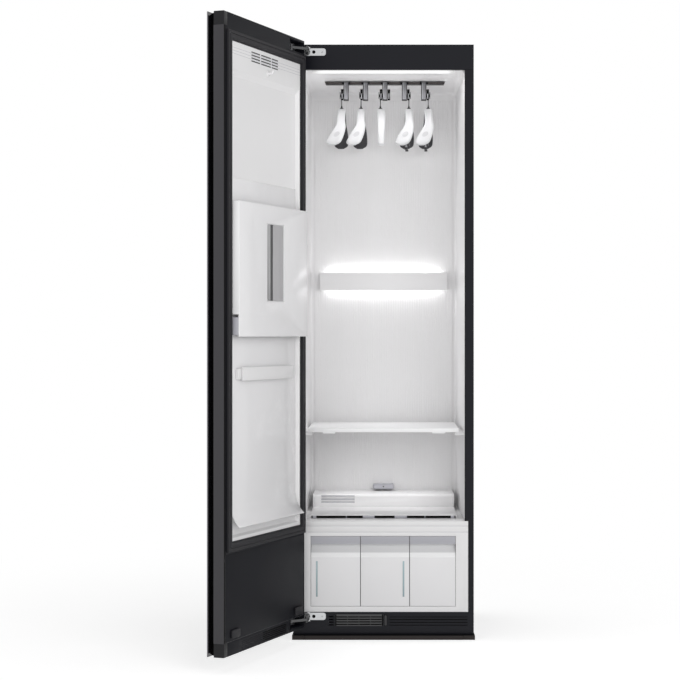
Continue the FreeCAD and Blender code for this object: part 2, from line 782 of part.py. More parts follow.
def rail_drive():
    """The shaker above the roof: two guides that hold the carriage, and the motor's housing."""
    pieces = []
    roof = "body_top - skin"
    play = 0.5
    length = "carriage_half + shake + 6"
    lip = 5.0
    for side, sign in (("front", -1), ("back", 1)):
        near, far = f"carriage_width / 2 + {play}", f"carriage_width / 2 + {play} + 5"
        wall_span = (f"rail_y + {sign} * ({near})", f"rail_y + {sign} * ({far})")
        lip_span = (f"rail_y + {sign} * (carriage_width / 2 - {lip})", f"rail_y + {sign} * ({far})")
        wall = block(f"guide_wall_{side}", (f"rail_centre - ({length})", f"rail_centre + {length}"),
                     wall_span if sign > 0 else wall_span[::-1], (f"carriage_z - {play} - 3", roof))
        ledge = block(f"guide_lip_{side}", (f"rail_centre - ({length})", f"rail_centre + {length}"),
                      lip_span if sign > 0 else lip_span[::-1],
                      (f"carriage_z - {play} - 3", f"carriage_z - {play}"))
        pieces.append(fuse(f"guide_{side}", [wall, ledge]))
    motor = block("shaker_motor", ("rail_centre - 45", "rail_centre + 45"), ("rail_y - 18", "rail_y + 18"),
                  (f"carriage_z + carriage_thick + {play}", roof))
    pieces.append(motor)
    return keep("rail_drive", group("drive_group", pieces))


def holder_x(number):
    """The centre of a holder along the rail."""
    return f"rail_centre + ({number} - (holder_count - 1) / 2) * holder_pitch"


def peg_side(number):
    """Holders left of the middle carry their peg on the left, the others on the right."""
    return -1 if number < 3 else 1


HOLDERS = range(int(v.holder_count))
PEG_Z = f"{RAIL_LOW} - peg_drop"


def rail_holders():
    """Bars that hang from the rail, each with a side peg and an upturned stop."""
    pieces = []
    for number in HOLDERS:
        centre, sign = holder_x(number), peg_side(number)
        bar = block(f"holder_bar_{number}", (f"{centre} - holder_half", f"{centre} + holder_half"),
                    ("rail_y - holder_depth / 2", "rail_y + holder_depth / 2"),
                    (f"{RAIL_LOW} - holder_drop", RAIL_LOW))
        head = block(f"holder_head_{number}", (f"{centre} - holder_half - 4", f"{centre} + holder_half + 4"),
                     ("rail_y - rail_width / 2", "rail_y + rail_width / 2"), (f"{RAIL_LOW} - 6", RAIL_LOW))
        reach = (f"{centre} + {sign} * (holder_half - 1)", f"{centre} + {sign} * (holder_half + peg_reach)")
        peg = rod(f"holder_peg_{number}", "x", ("rail_y", PEG_Z), "peg_radius",
                  reach if sign > 0 else reach[::-1], 16)
        stop_span = (f"{centre} + {sign} * (holder_half + peg_reach)",
                     f"{centre} + {sign} * (holder_half + peg_reach + peg_stop)")
        stop = block(f"holder_stop_{number}", stop_span if sign > 0 else stop_span[::-1],
                     ("rail_y - 7", "rail_y + 7"), (f"{PEG_Z} - 13", f"{PEG_Z} + 24"))
        pieces.append(fuse(f"holder_{number}", [bar, head, peg, stop]))
    return keep("rail_holders", group("holders_group", pieces))


def paddle_corners(centre, width, thick, slope, side_count=8):
    """The corners of a section across an arm: arched above, flatter below, tilted by the slope."""
    corners = []
    tilt = math.radians(slope)
    for k in range(side_count):
        angle = math.tau * (k + 0.5) / side_count
        lift = math.sin(angle) * (thick / 2 if math.sin(angle) > 0 else thick / 4)
        corners.append(centre + FreeCAD.Vector(width / 2 * math.cos(angle), -lift * math.sin(tilt),
                                               lift * math.cos(tilt)))
    return corners


def skin_over(sections):
    """A solid of flat facets through sections that have the same number of corners."""
    facets = [Part.Face(Part.makePolygon(ring + ring[:1])) for ring in (sections[0], sections[-1])]
    for one, two in zip(sections, sections[1:]):
        for k in range(len(one)):
            near, far = one[k], one[(k + 1) % len(one)]
            over, past = two[k], two[(k + 1) % len(one)]
            for corners in ((near, far, past), (near, past, over)):
                facets.append(Part.Face(Part.makePolygon([*corners, corners[0]])))
    solid = Part.makeSolid(Part.makeShell(facets))
    return solid if solid.Volume > 0 else solid.reversed()


def arm_fall(share):
    """How far an arm has dropped at a share of its reach."""
    return v.arm_drop * (0.45 * share + 0.55 * share ** 2)


def hanger_arm(way, sweep, tip_width):
    """One shoulder from the neck at the origin: it widens, drops and sweeps aside towards its tip."""
    sections = []
    for share in (0.0, 0.2, 0.4, 0.6, 0.8, 0.95, 1.0):
        slope = math.degrees(math.atan2(v.arm_drop * (0.45 + 1.1 * share), v.arm_reach))
        width = v.arm_neck_width + (tip_width - v.arm_neck_width) * math.sin(share * math.pi / 2)
        end = 0.72 if share == 1.0 else 1.0
        centre = FreeCAD.Vector(-sweep * share ** 1.7, way * v.arm_reach * share, -arm_fall(share))
        sections.append(paddle_corners(centre, width * end, v.arm_thick * end, -way * slope))
    return skin_over(sections)


def prism(radius, low, high, side_count=12):
    """An upright prism on the origin."""
    corners = [FreeCAD.Vector(radius * math.cos(math.tau * k / side_count),
                              radius * math.sin(math.tau * k / side_count), low) for k in range(side_count)]
    return Part.Face(Part.makePolygon(corners + corners[:1])).extrude(FreeCAD.Vector(0, 0, high - low))


def hanger(number):
    """A hanger: two shoulders from a neck, with a hook over its peg and a bell below the hook."""
    peg_x = (v.rail_centre + (number - (v.holder_count - 1) / 2) * v.holder_pitch
             + peg_side(number) * (v.holder_half + v.peg_reach / 2))
    peg_z = (v.body_top - v.fascia_height - v.roof_drop / 2 - v.rail_gap - v.rail_height - v.peg_drop)
    neck = peg_z - v.neck_drop
    ring_z = peg_z - v.hook_slack
    straight = number == 2
    sweep = 0.0 if straight else v.arm_sweep
    tip_width = v.arm_neck_width + 2 if straight else v.arm_tip_width
    arms = [hanger_arm(way, sweep, tip_width) for way in (-1, 1)]
    collar = prism(v.arm_neck_width / 2, -9, 5)
    thick = 2 * v.hook_wire
    ring = prism(v.hook_radius + v.hook_wire, -v.hook_wire, v.hook_wire, 14).cut(
        prism(v.hook_radius - v.hook_wire, -thick, thick, 14))
    ring.rotate(FreeCAD.Vector(), FreeCAD.Vector(0, 1, 0), 90)
    ring.translate(FreeCAD.Vector(0, 0, ring_z - neck))
    shank = prism(v.hook_wire, 0, ring_z - v.hook_radius - neck, 8)
    bell = prism(v.hook_wire + 3, 5, 15, 12)
    solid = arms[0].fuse([arms[1], collar])
    if not straight:
        solid.rotate(FreeCAD.Vector(), FreeCAD.Vector(0, 0, 1), -v.hanger_twist)
    solid = solid.fuse([shank, bell, ring])
    solid.rotate(FreeCAD.Vector(0, 0, v.neck_drop), FreeCAD.Vector(1, 0, 0), v.hanger_tilt)
    solid.translate(FreeCAD.Vector(peg_x, v.rail_y, neck))
    made = doc.addObject("Part::Feature", f"hanger_{number + 1}_solid")
    made.Shape = solid
    return keep(f"hanger_{number + 1}", made), peg_x, neck


def trouser_clips(number, peg_x, neck):
    """A bar under the shoulders with two spring clips, on the hangers meant for trousers."""
    bar_z = -v.arm_drop - 6
    half = v.arm_reach * v.clip_share
    foot_x = -v.arm_sweep * v.clip_share ** 1.7
    under_arm = 7.5
    post_top = -arm_fall(v.clip_share) - under_arm
    wire = 2 * v.clip_bar_radius
    pieces = [Part.makeBox(wire, 2 * half + wire, wire,
                           FreeCAD.Vector(foot_x - wire / 2, -half - wire / 2, bar_z - wire / 2))]
    for way in (-1, 1):
        pieces.append(Part.makeBox(wire, wire, post_top - bar_z,
                                   FreeCAD.Vector(foot_x - wire / 2, way * half - wire / 2, bar_z)))
        pieces.append(Part.makeBox(10, 30, 30, FreeCAD.Vector(foot_x - 5, way * v.clip_spread - 15, bar_z - 26)))
    clip = pieces[0].fuse(pieces[1:])
    clip.rotate(FreeCAD.Vector(), FreeCAD.Vector(0, 0, 1), -v.hanger_twist)
    clip.rotate(FreeCAD.Vector(0, 0, v.neck_drop), FreeCAD.Vector(1, 0, 0), v.hanger_tilt)
    clip.translate(FreeCAD.Vector(peg_x, v.rail_y, neck))
    made = doc.addObject("Part::Feature", f"trouser_clips_{number + 1}_solid")
    made.Shape = clip
    return keep(f"trouser_clips_{number + 1}", made)


# ---------------------------------------------------------------- machine front

def machine_panel():
    """The white lower front with one wide mouth, and the three bays behind it."""
    plate = block("panel_plate", ("-panel_half", "panel_half"), (0, "cover_depth"),
                  ("grille_top", "machine_top"))
    hollow = block("panel_back", ("3 - panel_half", "panel_half - 3"), ("panel_thick", "cover_depth + 1"),
                   ("grille_top + 3", "machine_top - 3"))
    sleeve = block("bay_sleeve", ("-bay_left - bay_wall", "bay_right + bay_wall"),
                   ("panel_thick / 2", "bay_depth + bay_wall"), ("bay_low - bay_wall", "bay_high + bay_wall"))
    mouth = block("bay_mouth", ("-bay_left", "bay_right"), (-1, "front_thick + 3"), ("bay_low", "bay_high"))
    edges = ("-bay_left", "first_split", "second_split", "bay_right")
    inset = ("0", "bay_wall / 2", "bay_wall / 2", "0")
    bays = [
        block(f"bay_{number}", (f"{edges[number]} + {inset[number]}", f"{edges[number + 1]} - {inset[number + 1]}"),
              ("front_thick + 2", "bay_depth"), ("bay_low", "bay_high"))
        for number in range(3)
    ]
    lines = [
        block(f"panel_line_{number}", ("-panel_half - 1", "panel_half + 1"), (-1, 1),
              (f"machine_top - {drop}", f"machine_top - {drop} + 1"))
        for number, drop in enumerate((36.5, 16.5))
    ]
    shell = fuse("panel_shell", [cut("panel_hollow", plate, [hollow]), sleeve])
    return keep("machine_panel", cut("panel_cut", shell, [mouth] + bays + lines))


def drawer(label, left, right, lidded):
    """A front with its strip, grip recess and bevel, and a tank behind it."""
    front = solid_body(f"{label}_front")
    low, high = "bay_low + drawer_gap", "bay_high - drawer_gap"
    strip = f"{high} - strip_height"
    grip = f"{strip} - grip_height"
    bevel = f"{grip} - bevel_height"
    outline = [
        (0, low), ("front_thick", low), ("front_thick", high), (0, high), (0, strip),
        ("grip_depth", strip), ("bevel_depth", grip), (0, bevel),
    ]
    pad(front, "YZ_Plane", [outline], f"{left} + drawer_gap", f"{right} - drawer_gap")
    tank_low, tank_high = f"{low} + 2", f"{low} + 2 + tank_height"
    near, far = "front_thick", "front_thick + tank_depth"
    outer = block(f"{label}_outer", (f"{left} + tank_margin", f"{right} - tank_margin"), (near, far),
                  (tank_low, tank_high))
    inner = block(f"{label}_inner",
                  (f"{left} + tank_margin + tank_wall", f"{right} - tank_margin - tank_wall"),
                  (f"{near} + tank_wall", f"{far} - tank_wall"), (f"{tank_low} + tank_wall", f"{tank_high} + 1"))
    pieces = [front, cut(f"{label}_tank", outer, [inner])]
    if lidded:
        pieces.append(block(f"{label}_lid", (f"{left} + tank_margin", f"{right} - tank_margin"), (near, far),
                            (tank_high, f"{tank_high} + lid_thick")))
    return keep(label, group(f"{label}_group", pieces))


def base_grille():
    """The black kick plate, with an opening for the vent and raised ridges beside it."""
    body = solid_body("base_grille")
    pad(body, "XZ_Plane", [frame_loop(f"-({HALF})", HALF, "plinth_height", "grille_top")], 0, "cover_depth")
    pocket(body, "XZ_Plane", [frame_loop(f"4 - {HALF}", f"{HALF} - 4", "plinth_height + 2", "grille_top - 2")],
           "grille_wall", "cover_depth + 1")
    pocket(body, "XZ_Plane", [frame_loop("insert_left", "insert_right", "insert_low", "insert_low + insert_height")],
           -1, "grille_wall + 1")
    groove = pocket(body, "XZ_Plane", [frame_loop("ridge_left", "ridge_right", "insert_low + 2",
                                                  "insert_low + 2 + ridge_height")], -1, 1.2)
    repeat(body, groove, "Z_Axis", "ridge_pitch", "ridge_count")
    small = pocket(body, "XZ_Plane", [frame_loop("insert_left - 20", "insert_left - 4", "insert_low + 2",
                                                 "insert_low + 6")], -1, "grille_wall + 1")
    repeat(body, small, "Z_Axis", "ridge_pitch", "ridge_count")
    return keep("base_grille", body)


def vent_insert():
    """Light level bars in a frame, crossed by three thin ribs."""
    body = solid_body("vent_insert")
    left, right = "insert_left + 0.2", "insert_right - 0.2"
    low, high = "insert_low + 0.2", "insert_low + insert_height - 0.2"
    pad(body, "XZ_Plane", [frame_loop(left, right, low, high)], 1, "grille_wall")
    step = "(insert_height - 6) / insert_bars"
    rib_count = 4
    wide = f"(insert_right - insert_left - 8) / {rib_count}"
    loops = [
        frame_loop(f"{left} + 4 + {k} * ({wide})", f"{left} + 2.5 + {k + 1} * ({wide})",
                   f"{low} + 3", f"{low} + 3 + ({step}) / 2")
        for k in range(rib_count)
    ]
    slots = pocket(body, "XZ_Plane", loops, 0, "grille_wall + 1")
    repeat(body, slots, "Z_Axis", step, "insert_bars")
    return keep("vent_insert", body)


def vent_latch():
    """The turn button that locks the vent insert."""
    mid = "insert_low + insert_height / 2"
    wing = block("latch_wing", ("latch_x - latch_half", "latch_x + latch_half"), (-4, "-0.4"),
                 (f"{mid} - latch_height / 2", f"{mid} + latch_height / 2"))
    end = 4.0
    return keep("vent_latch", rounded("latch_ends", wing, end, lambda e: runs_along(e, "y"), "Part::Chamfer"))


# ---------------------------------------------------------------- machine space

PAN = "plinth_height + skin"


def compressor():
    """A welded steel pot on a foot plate with rubber mounts."""
    x, y = f"101 - ({SHEET_HALF})", "body_depth - 125"
    pot = rod("pot", "z", (x, y), 62, (f"{PAN} + 14", f"{PAN} + 184"), 24)
    shoulder = 26.0
    pot = rounded("pot_shoulders", pot, shoulder, lambda e: not runs_along(e, "z"), "Part::Chamfer")
    plate = block("pot_plate", (f"{x} - 75", f"{x} + 75"), (f"{y} - 50", f"{y} + 50"),
                  (f"{PAN} + 10", f"{PAN} + 14"))
    mounts = [
        rod(f"pot_mount_{number}", "z", (f"{x} + {across}", f"{y} + {back}"), 11, (PAN, f"{PAN} + 10"), 12)
        for number, (across, back) in enumerate(((-62, -38), (62, -38), (-62, 38), (62, 38)))
    ]
    return keep("compressor", group("compressor_group", [fuse("pot_fuse", [pot, plate])] + mounts))


def heat_exchangers():
    """Finned evaporator and condenser, one behind the other, with the ends of their tubes."""
    pieces = []
    left, right, gap, fin_count = -100.0, 36.0, 9.0, 12
    step = (right - left) / fin_count
    core = 80.0
    for row, from_back in (("front", 250.0), ("back", 135.0)):
        near = f"body_depth - {from_back}"
        body = solid_body(f"exchanger_{row}")
        top = f"{PAN} + 240"
        pad(body, "XY_Plane", [frame_loop(left, right, near, f"{near} + {core}")], PAN, top)
        slot = pocket(body, "XY_Plane", [frame_loop(left + step - gap, left + step, f"{near} - 1",
                                                    f"{near} + {core} - 10")], f"{PAN} + 8", f"{top} + 1")
        repeat(body, slot, "X_Axis", step, fin_count - 1)
        stubs = [
            rod(f"tube_{row}_{k}_{end}", "x", (f"{near} + {core} - 4.5", f"{PAN} + 50 + {k * 70}"), 4, span, 8)
            for k in range(3)
            for end, span in (("left", (left - 8, left + 1)), ("right", (right - 1, right + 8)))
        ]
        pieces.append(fuse(f"exchanger_fuse_{row}", [body] + stubs))
    return keep("heat_exchangers", group("exchanger_group", pieces))


def fan_housing():
    """A scroll around the wheel, on two legs, with its outlet to the duct above."""
    centre = ("fan_x", "fan_y")
    high = "fan_low + fan_height"
    drum = rod("fan_drum", "z", centre, "fan_radius", ("fan_low", high), 24)
    outlet = block("fan_outlet", ("fan_x - fan_radius", "fan_x - 20"), ("fan_y", "fan_y + 110"),
                   ("fan_low", high))
    legs = [
        block(f"fan_leg_{number}", (f"fan_x + {across} - 4", f"fan_x + {across} + 4"),
              ("fan_y - 40", "fan_y + 40"), (PAN, "fan_low + 1"))
        for number, across in enumerate((-60, 60))
    ]
    room = rod("fan_room", "z", centre, "fan_radius - 3", ("fan_low + 3", f"{high} - 3"), 24)
    eye = rod("fan_eye", "z", centre, 45, (f"{high} - 4", f"{high} + 1"), 24)
    throat = block("fan_throat", ("fan_x - fan_radius + 3", "fan_x - 23"), ("fan_y", "fan_y + 111"),
                   ("fan_low + 3", f"{high} - 3"))
    return keep("fan_housing", cut("fan_cut", fuse("fan_shell", [drum, outlet] + legs), [room, eye, throat]))


def fan_rotor():
    """The blower wheel: a disc with blades around its rim."""
    blade_count = 16
    blade_long, blade_thick = 16.0, 1.6
    wheel = prism(v.fan_wheel, 0, 3, 24)
    vanes = [prism(14, 0, 30, 12)]
    for k in range(blade_count):
        vane = Part.makeBox(blade_long, blade_thick, v.fan_height - 14,
                            FreeCAD.Vector(v.fan_wheel - blade_long - 2, 0, 2))
        vane.rotate(FreeCAD.Vector(), FreeCAD.Vector(0, 0, 1), 360 * k / blade_count)
        vanes.append(vane)
    made = doc.addObject("Part::Feature", "fan_rotor_solid")
    made.Shape = wheel.fuse(vanes)
    made.Placement.Base = FreeCAD.Vector(v.fan_x, v.fan_y, v.fan_low + 5)
    return keep("fan_rotor", made)


def steam_generator():
    """A boiler drum lying on two saddles."""
    back = "body_depth - 244"
    drum = rod("boiler", "x", (back, f"{PAN} + 60"), "boiler_radius", ("boiler_left", "boiler_right"), 20)
    edge = 10.0
    drum = rounded("boiler_edges", drum, edge, lambda e: not runs_along(e, "x"), "Part::Chamfer")
    saddles = [
        block(f"saddle_{number}", (across, f"{across} + 12"), (f"{back} - 30", f"{back} + 30"),
              (PAN, f"{PAN} + 40"))
        for number, across in enumerate(("boiler_left + 20", "boiler_right - 32"))
    ]
    return keep("steam_generator", fuse("boiler_fuse", [drum] + saddles))


def control_board():
    """The closed electronics box under the roof sheet."""
    left = f"46 - ({SHEET_HALF})"
    return keep("control_board", block("board_box", (left, f"{left} + 170"), (60, 170),
                                       ("body_top - skin - 50", "body_top - skin")))


def power_inlet():
    """The gland in the back panel that the mains lead leaves by."""
    centre = ("body_width / 2 - 57.5", 120)
    collar = rod("gland_collar", "y", centre, 12, ("body_depth - skin", "body_depth - skin + 6"), 16)
    throat = rod("gland_throat", "y", centre, 8, ("body_depth - skin", "body_depth - skin + 14"), 16)
    bore = rod("gland_bore", "y", centre, 4, ("body_depth - skin + 4", "body_depth + 20"))
    return keep("power_inlet", cut("gland_cut", fuse("gland_fuse", [collar, throat]), [bore]))


# ---------------------------------------------------------------- door

INNER = "-door_gap"
CORE_BACK = "-door_gap - door_core"
PANEL_FACE = "-door_gap - door_core - door_recess"
LINER_LEFT, LINER_RIGHT = along("liner_left"), along("liner_right")
HINGES = (("low", "hinge_high - hinge_drop"), ("high", "hinge_high"))


def door_glass_panel():
    glass = block("glass_block", (f"-({HALF})", HALF), (f"{PANEL_FACE} - glass_thick", PANEL_FACE),
                  ("door_low", "body_top"))
    return on_door("door_glass_panel", group("glass_group", [glass]))


def hinge_seats():
    """Seats in the door's pockets, each with two ears and a pin for the second arm."""
    pieces = []
    floor = f"{INNER} - pocket_depth"
    for end, level in HINGES:
        seat = block(f"seat_{end}", ("root_pin_x - 14", "root_pin_x + 50"), (floor, f"{floor} + 1"),
                     (f"{level} - 16", f"{level} + 16"))
        ears = [
            block(f"seat_ear_{end}_{sign}", ("root_pin_x - 5", "root_pin_x + 5"), (floor, "door_pin_y + 5"),
                  (f"{level} + {5.2 if sign > 0 else -10}", f"{level} + {10 if sign > 0 else -5.2}"))
            for sign in (-1, 1)
        ]
        pin = rod(f"seat_pin_{end}", "z", ("root_pin_x", "door_pin_y"), "pin_radius - 0.5",
                  (f"{level} - 9", f"{level} + 9"))
        pieces.append(fuse(f"seat_fuse_{end}", [seat, pin] + ears))
    return pieces


def door_frame():
    """The black door core: rims around the liner, hollow behind it, with seats for what it carries."""
    body = solid_body("door_frame")
    rim, cell = 8.0, "door_core - core_wall"
    pad(body, "XZ_Plane", [frame_loop(f"-({HALF})", HALF, "door_low", "body_top")], CORE_BACK, INNER)
    pad(body, "XZ_Plane", [
        frame_loop(f"-({HALF})", f"{HALF} - grip_inset", "door_low", "body_top"),
        frame_loop(f"spacer_rim - {HALF}", f"{HALF} - grip_inset - spacer_rim", "door_low + spacer_rim",
                   "body_top - spacer_rim"),
    ], PANEL_FACE, CORE_BACK)
    pocket(body, "XZ_Plane", [frame_loop(LINER_LEFT, LINER_RIGHT, "liner_low", "liner_high")],
           f"{INNER} - liner_tray", INNER)
    pocket(body, "XZ_Plane", [frame_loop(f"{LINER_LEFT} + {rim}", f"{LINER_RIGHT} - {rim}",
                                         f"liner_low + {rim}", f"liner_high - {rim}")],
           f"{INNER} - {cell}", f"{INNER} - liner_tray")
    edge = "low_panel_inset"
    pocket(body, "XZ_Plane", [frame_loop(f"{edge} - {HALF}", f"{HALF} - {edge}", "low_panel_low",
                                         "low_panel_high")], f"{INNER} - low_panel_thick", INNER)
    pocket(body, "XZ_Plane", [frame_loop(f"{edge} - {HALF} + {rim}", f"{HALF} - {edge} - {rim}",
                                         f"low_panel_low + {rim}", f"low_panel_high - {rim}")],
           f"{INNER} - {cell}", f"{INNER} - low_panel_thick")
    pocket(body, "XZ_Plane", [frame_loop(along("trim_left"), along("trim_right"), "door_low",
                                         "low_panel_low - 1")],
           f"{INNER} - trim_depth", INNER)
    for _, level in HINGES:
        pocket(body, "XZ_Plane", [frame_loop(along("pocket_left"), along("pocket_right"),
                                             f"{level} - pocket_height / 2", f"{level} + pocket_height / 2")],
               f"{INNER} - pocket_depth", INNER)
    for low, high in (("door_low", "door_low + cap_height"), ("body_top - cap_height", "body_top")):
        pocket(body, "XZ_Plane", [frame_loop(f"{HALF} - cap_width", HALF, low, high)], CORE_BACK, INNER)
    return on_door("door_frame", fuse("door_frame_fuse", [body] + hinge_seats()))


def door_end_caps():
    """Caps at the top and bottom of the door's free edge."""
    edge = 2.0
    pieces = []
    for end, low, high in (("low", "door_low", "door_low + cap_height"),
                           ("high", "body_top - cap_height", "body_top")):
        cap = block(f"end_cap_{end}", (f"{HALF} - cap_width", HALF), (CORE_BACK, INNER), (low, high))
        pieces.append(rounded(f"end_cap_round_{end}", cap, edge,
                              lambda e: runs_along(e, "z") and e.Vertexes[0].Point.x > v.body_width / 2 - 1))
    return on_door("door_end_caps", group("end_caps_group", pieces))


def door_liner():
    """The white inner tray: a recess below a raised head with air slots, and the press's brackets."""
    body = solid_body("door_liner")
    pad(body, "XZ_Plane", [frame_loop(LINER_LEFT, LINER_RIGHT, "liner_low", "liner_high")],
        f"{INNER} - liner_tray", INNER)
    floor = f"{INNER} - recess_depth"
    recess = [(f"{INNER} + 1", "liner_low + recess_rim"), (floor, "liner_low + recess_rim + 5"),
              (floor, "recess_top - recess_slope"), (f"{INNER} + 1", "recess_top + 1")]
    pocket(body, "YZ_Plane", [recess], f"{LINER_LEFT} + recess_rim", f"{LINER_RIGHT} - recess_rim")
    slots = []
    for start, wide in ((209, 47), (262, 72), (342, 62)):
        slots.append(frame_loop(along(start), along(start + wide), "liner_high - 43", "liner_high - 39"))
    slot = pocket(body, "XZ_Plane", slots, f"{INNER} - 6", INNER)
    repeat(body, slot, "Z_Axis", 9, 4)
    for number, (low, high) in enumerate((("press_low + 14", "press_low + 25.7"),
                                          ("press_high - 25.7", "press_high - 14"))):
        lug = [(f"{along('press_pivot_s')} - 5", INNER), (f"{along('press_pivot_s')} + 5", INNER),
               (f"{along('press_pivot_s')} + 5", f"{INNER} + press_pivot_out + 5"),
               (f"{along('press_pivot_s')} - 5", f"{INNER} + press_pivot_out + 5")]
        pad(body, "XY_Plane", [lug], low, high)
    lugs = body
    pins = [
        rod(f"press_pin_{number}", "z", (along("press_pivot_s"), f"{INNER} + press_pivot_out"), "pin_radius", span)
        for number, span in enumerate((("press_low + 24", "press_low + 37"),
                                       ("press_high - 37", "press_high - 24")))
    ]
    return on_door("door_liner", fuse("liner_and_pins", [lugs] + pins))


def door_gasket():
    """The seal: a flat foot all round with a narrower bulb on it."""
    body = solid_body("door_gasket")
    left, right = f"{LINER_LEFT} - 0.5", f"{LINER_RIGHT} + 0.5"
    low, high = "liner_low + 0.5", "liner_high - 0.5"
    pad(body, "XZ_Plane", [
        frame_loop(f"{left} - gasket_rim", f"{right} + gasket_rim", f"{low} - gasket_rim", f"{high} + gasket_rim"),
        frame_loop(left, right, low, high)], INNER, f"{INNER} + gasket_base")
    inset = "(gasket_rim - gasket_bulb) / 2"
    outset = f"gasket_rim - {inset}"
    pad(body, "XZ_Plane", [
        frame_loop(f"{left} - ({outset})", f"{right} + {outset}", f"{low} - ({outset})", f"{high} + {outset}"),
        frame_loop(f"{left} - {inset}", f"{right} + {inset}", f"{low} - {inset}", f"{high} + {inset}")],
        f"{INNER} + gasket_base", f"{INNER} + gasket_high")
    return on_door("door_gasket", body)


def door_lower_panel():
    edge = "low_panel_inset"
    panel = block("lower_block", (f"{edge} - {HALF}", f"{HALF} - {edge}"),
                  (f"{INNER} - low_panel_thick", INNER), ("low_panel_low", "low_panel_high"))
    return on_door("door_lower_panel", group("lower_group", [panel]))


def door_bottom_trim():
    """The trim under the lower panel, with a louvre and fine ridges."""
    body = solid_body("door_bottom_trim")
    low, high = "door_low", "low_panel_low - 1"
    left, right = along("trim_left"), along("trim_right")
    pad(body, "XZ_Plane", [frame_loop(left, right, low, high)], f"{INNER} - trim_depth", INNER)
    slot_count, step = 5, 6.0
    slot = pocket(body, "XZ_Plane", [frame_loop(f"{left} + 24", f"{left} + 199", f"{low} + 7", f"{low} + 10")],
                  f"{INNER} - 9", INNER)
    repeat(body, slot, "Z_Axis", step, slot_count)
    ridge = pocket(body, "XZ_Plane", [frame_loop(f"{left} + 203", f"{left} + 354", f"{low} + 7", f"{low} + 9")],
                   f"{INNER} - 1", INNER)
    repeat(body, ridge, "Z_Axis", step, slot_count)
    return on_door("door_bottom_trim", body)


def door_bumpers():
    edge = 3.0
    pieces = []
    for side, left in (("hinge", "24.5"), ("free", "body_width - 103")):
        pad_block = block(f"bumper_{side}", (along(left), f"{along(left)} + bumper_width"),
                          (INNER, f"{INNER} + bumper_thick"), ("bumper_low", "bumper_low + bumper_height"))
        pieces.append(rounded(f"bumper_corners_{side}", pad_block, edge, lambda e: runs_along(e, "y"),
                              "Part::Chamfer"))
    return on_door("door_bumpers", group("bumpers_group", pieces))


def door_hook():
    """A small coat hook on the raised head of the liner."""
    x, z = v.hook_across - v.body_width / 2, v.liner_high - v.hook_drop
    face = -v.door_gap
    base, stem = prism(9, 0, 3, 16), prism(3.5, 2, 18, 8)
    for piece in (base, stem):
        piece.rotate(FreeCAD.Vector(), FreeCAD.Vector(1, 0, 0), -90)
    prong = Part.makeBox(7, 6, 16, FreeCAD.Vector(-3.5, 13, -3))
    made = doc.addObject("Part::Feature", "door_hook_solid")
    solid = base.fuse([stem, prong])
    solid.translate(FreeCAD.Vector(x, face, z))
    made.Shape = solid
    return on_door("door_hook", group("hook_group", [made]))


def trouser_plate():
    """The back plate of the press; its foot curves out towards the cabinet."""
    floor = -v.door_gap - v.recess_depth
    out, rise = v.plate_flare + v.recess_depth, v.plate_bend - v.plate_low
    radius = (out ** 2 + rise ** 2) / (2 * out)
    turn = math.asin(rise / radius)
    centre = FreeCAD.Vector(0, floor + radius, v.plate_bend)

    def on_arc(arc_radius, part_way):
        angle = turn * part_way
        return centre + FreeCAD.Vector(0, -arc_radius * math.cos(angle), -arc_radius * math.sin(angle))

    inner_radius = radius - v.plate_thick
    top_back = FreeCAD.Vector(0, floor, v.plate_top)
    top_front = FreeCAD.Vector(0, floor + v.plate_thick, v.plate_top)
    edges = [
        Part.LineSegment(top_back, on_arc(radius, 0)).toShape(),
        Part.Arc(on_arc(radius, 0), on_arc(radius, 0.5), on_arc(radius, 1)).toShape(),
        Part.LineSegment(on_arc(radius, 1), on_arc(inner_radius, 1)).toShape(),
        Part.Arc(on_arc(inner_radius, 1), on_arc(inner_radius, 0.5), on_arc(inner_radius, 0)).toShape(),
        Part.LineSegment(on_arc(inner_radius, 0), top_front).toShape(),
        Part.LineSegment(top_front, top_back).toShape(),
    ]
    face = Part.Face(Part.Wire(edges))
    face.translate(FreeCAD.Vector(v.plate_left - v.body_width / 2, 0, 0))
    made = doc.addObject("Part::Feature", "trouser_plate_solid")
    made.Shape = face.extrude(FreeCAD.Vector(v.plate_right - v.plate_left, 0, 0))
    return on_door("trouser_plate", made)


def hem_bar():
    """A flat bar on two inset brackets; trouser legs pass behind it."""
    back = f"{INNER} - recess_depth + plate_thick"
    bar = block("hem_block", (along("bar_left"), along("bar_right")),
                (f"{back} + hem_gap", f"{back} + hem_gap + hem_thick"), ("hem_low", "hem_low + hem_height"))
    brackets = [
        block(f"hem_bracket_{number}", (left, f"{left} + 14"), (back, f"{back} + hem_gap"),
              ("hem_low + 3", "hem_low + hem_height - 3"))
        for number, left in enumerate((f"{along('bar_left')} + 8", f"{along('bar_right')} - 22"))
    ]
    return on_door("hem_bar", fuse("hem_fuse", [bar] + brackets))


PRESS_LEFT, PRESS_RIGHT = along("press_left"), along("press_right")
PRESS_FACE = f"{INNER} + press_proud"
PIVOT_X, PIVOT_Y = along("press_pivot_s"), f"{INNER} + press_pivot_out"


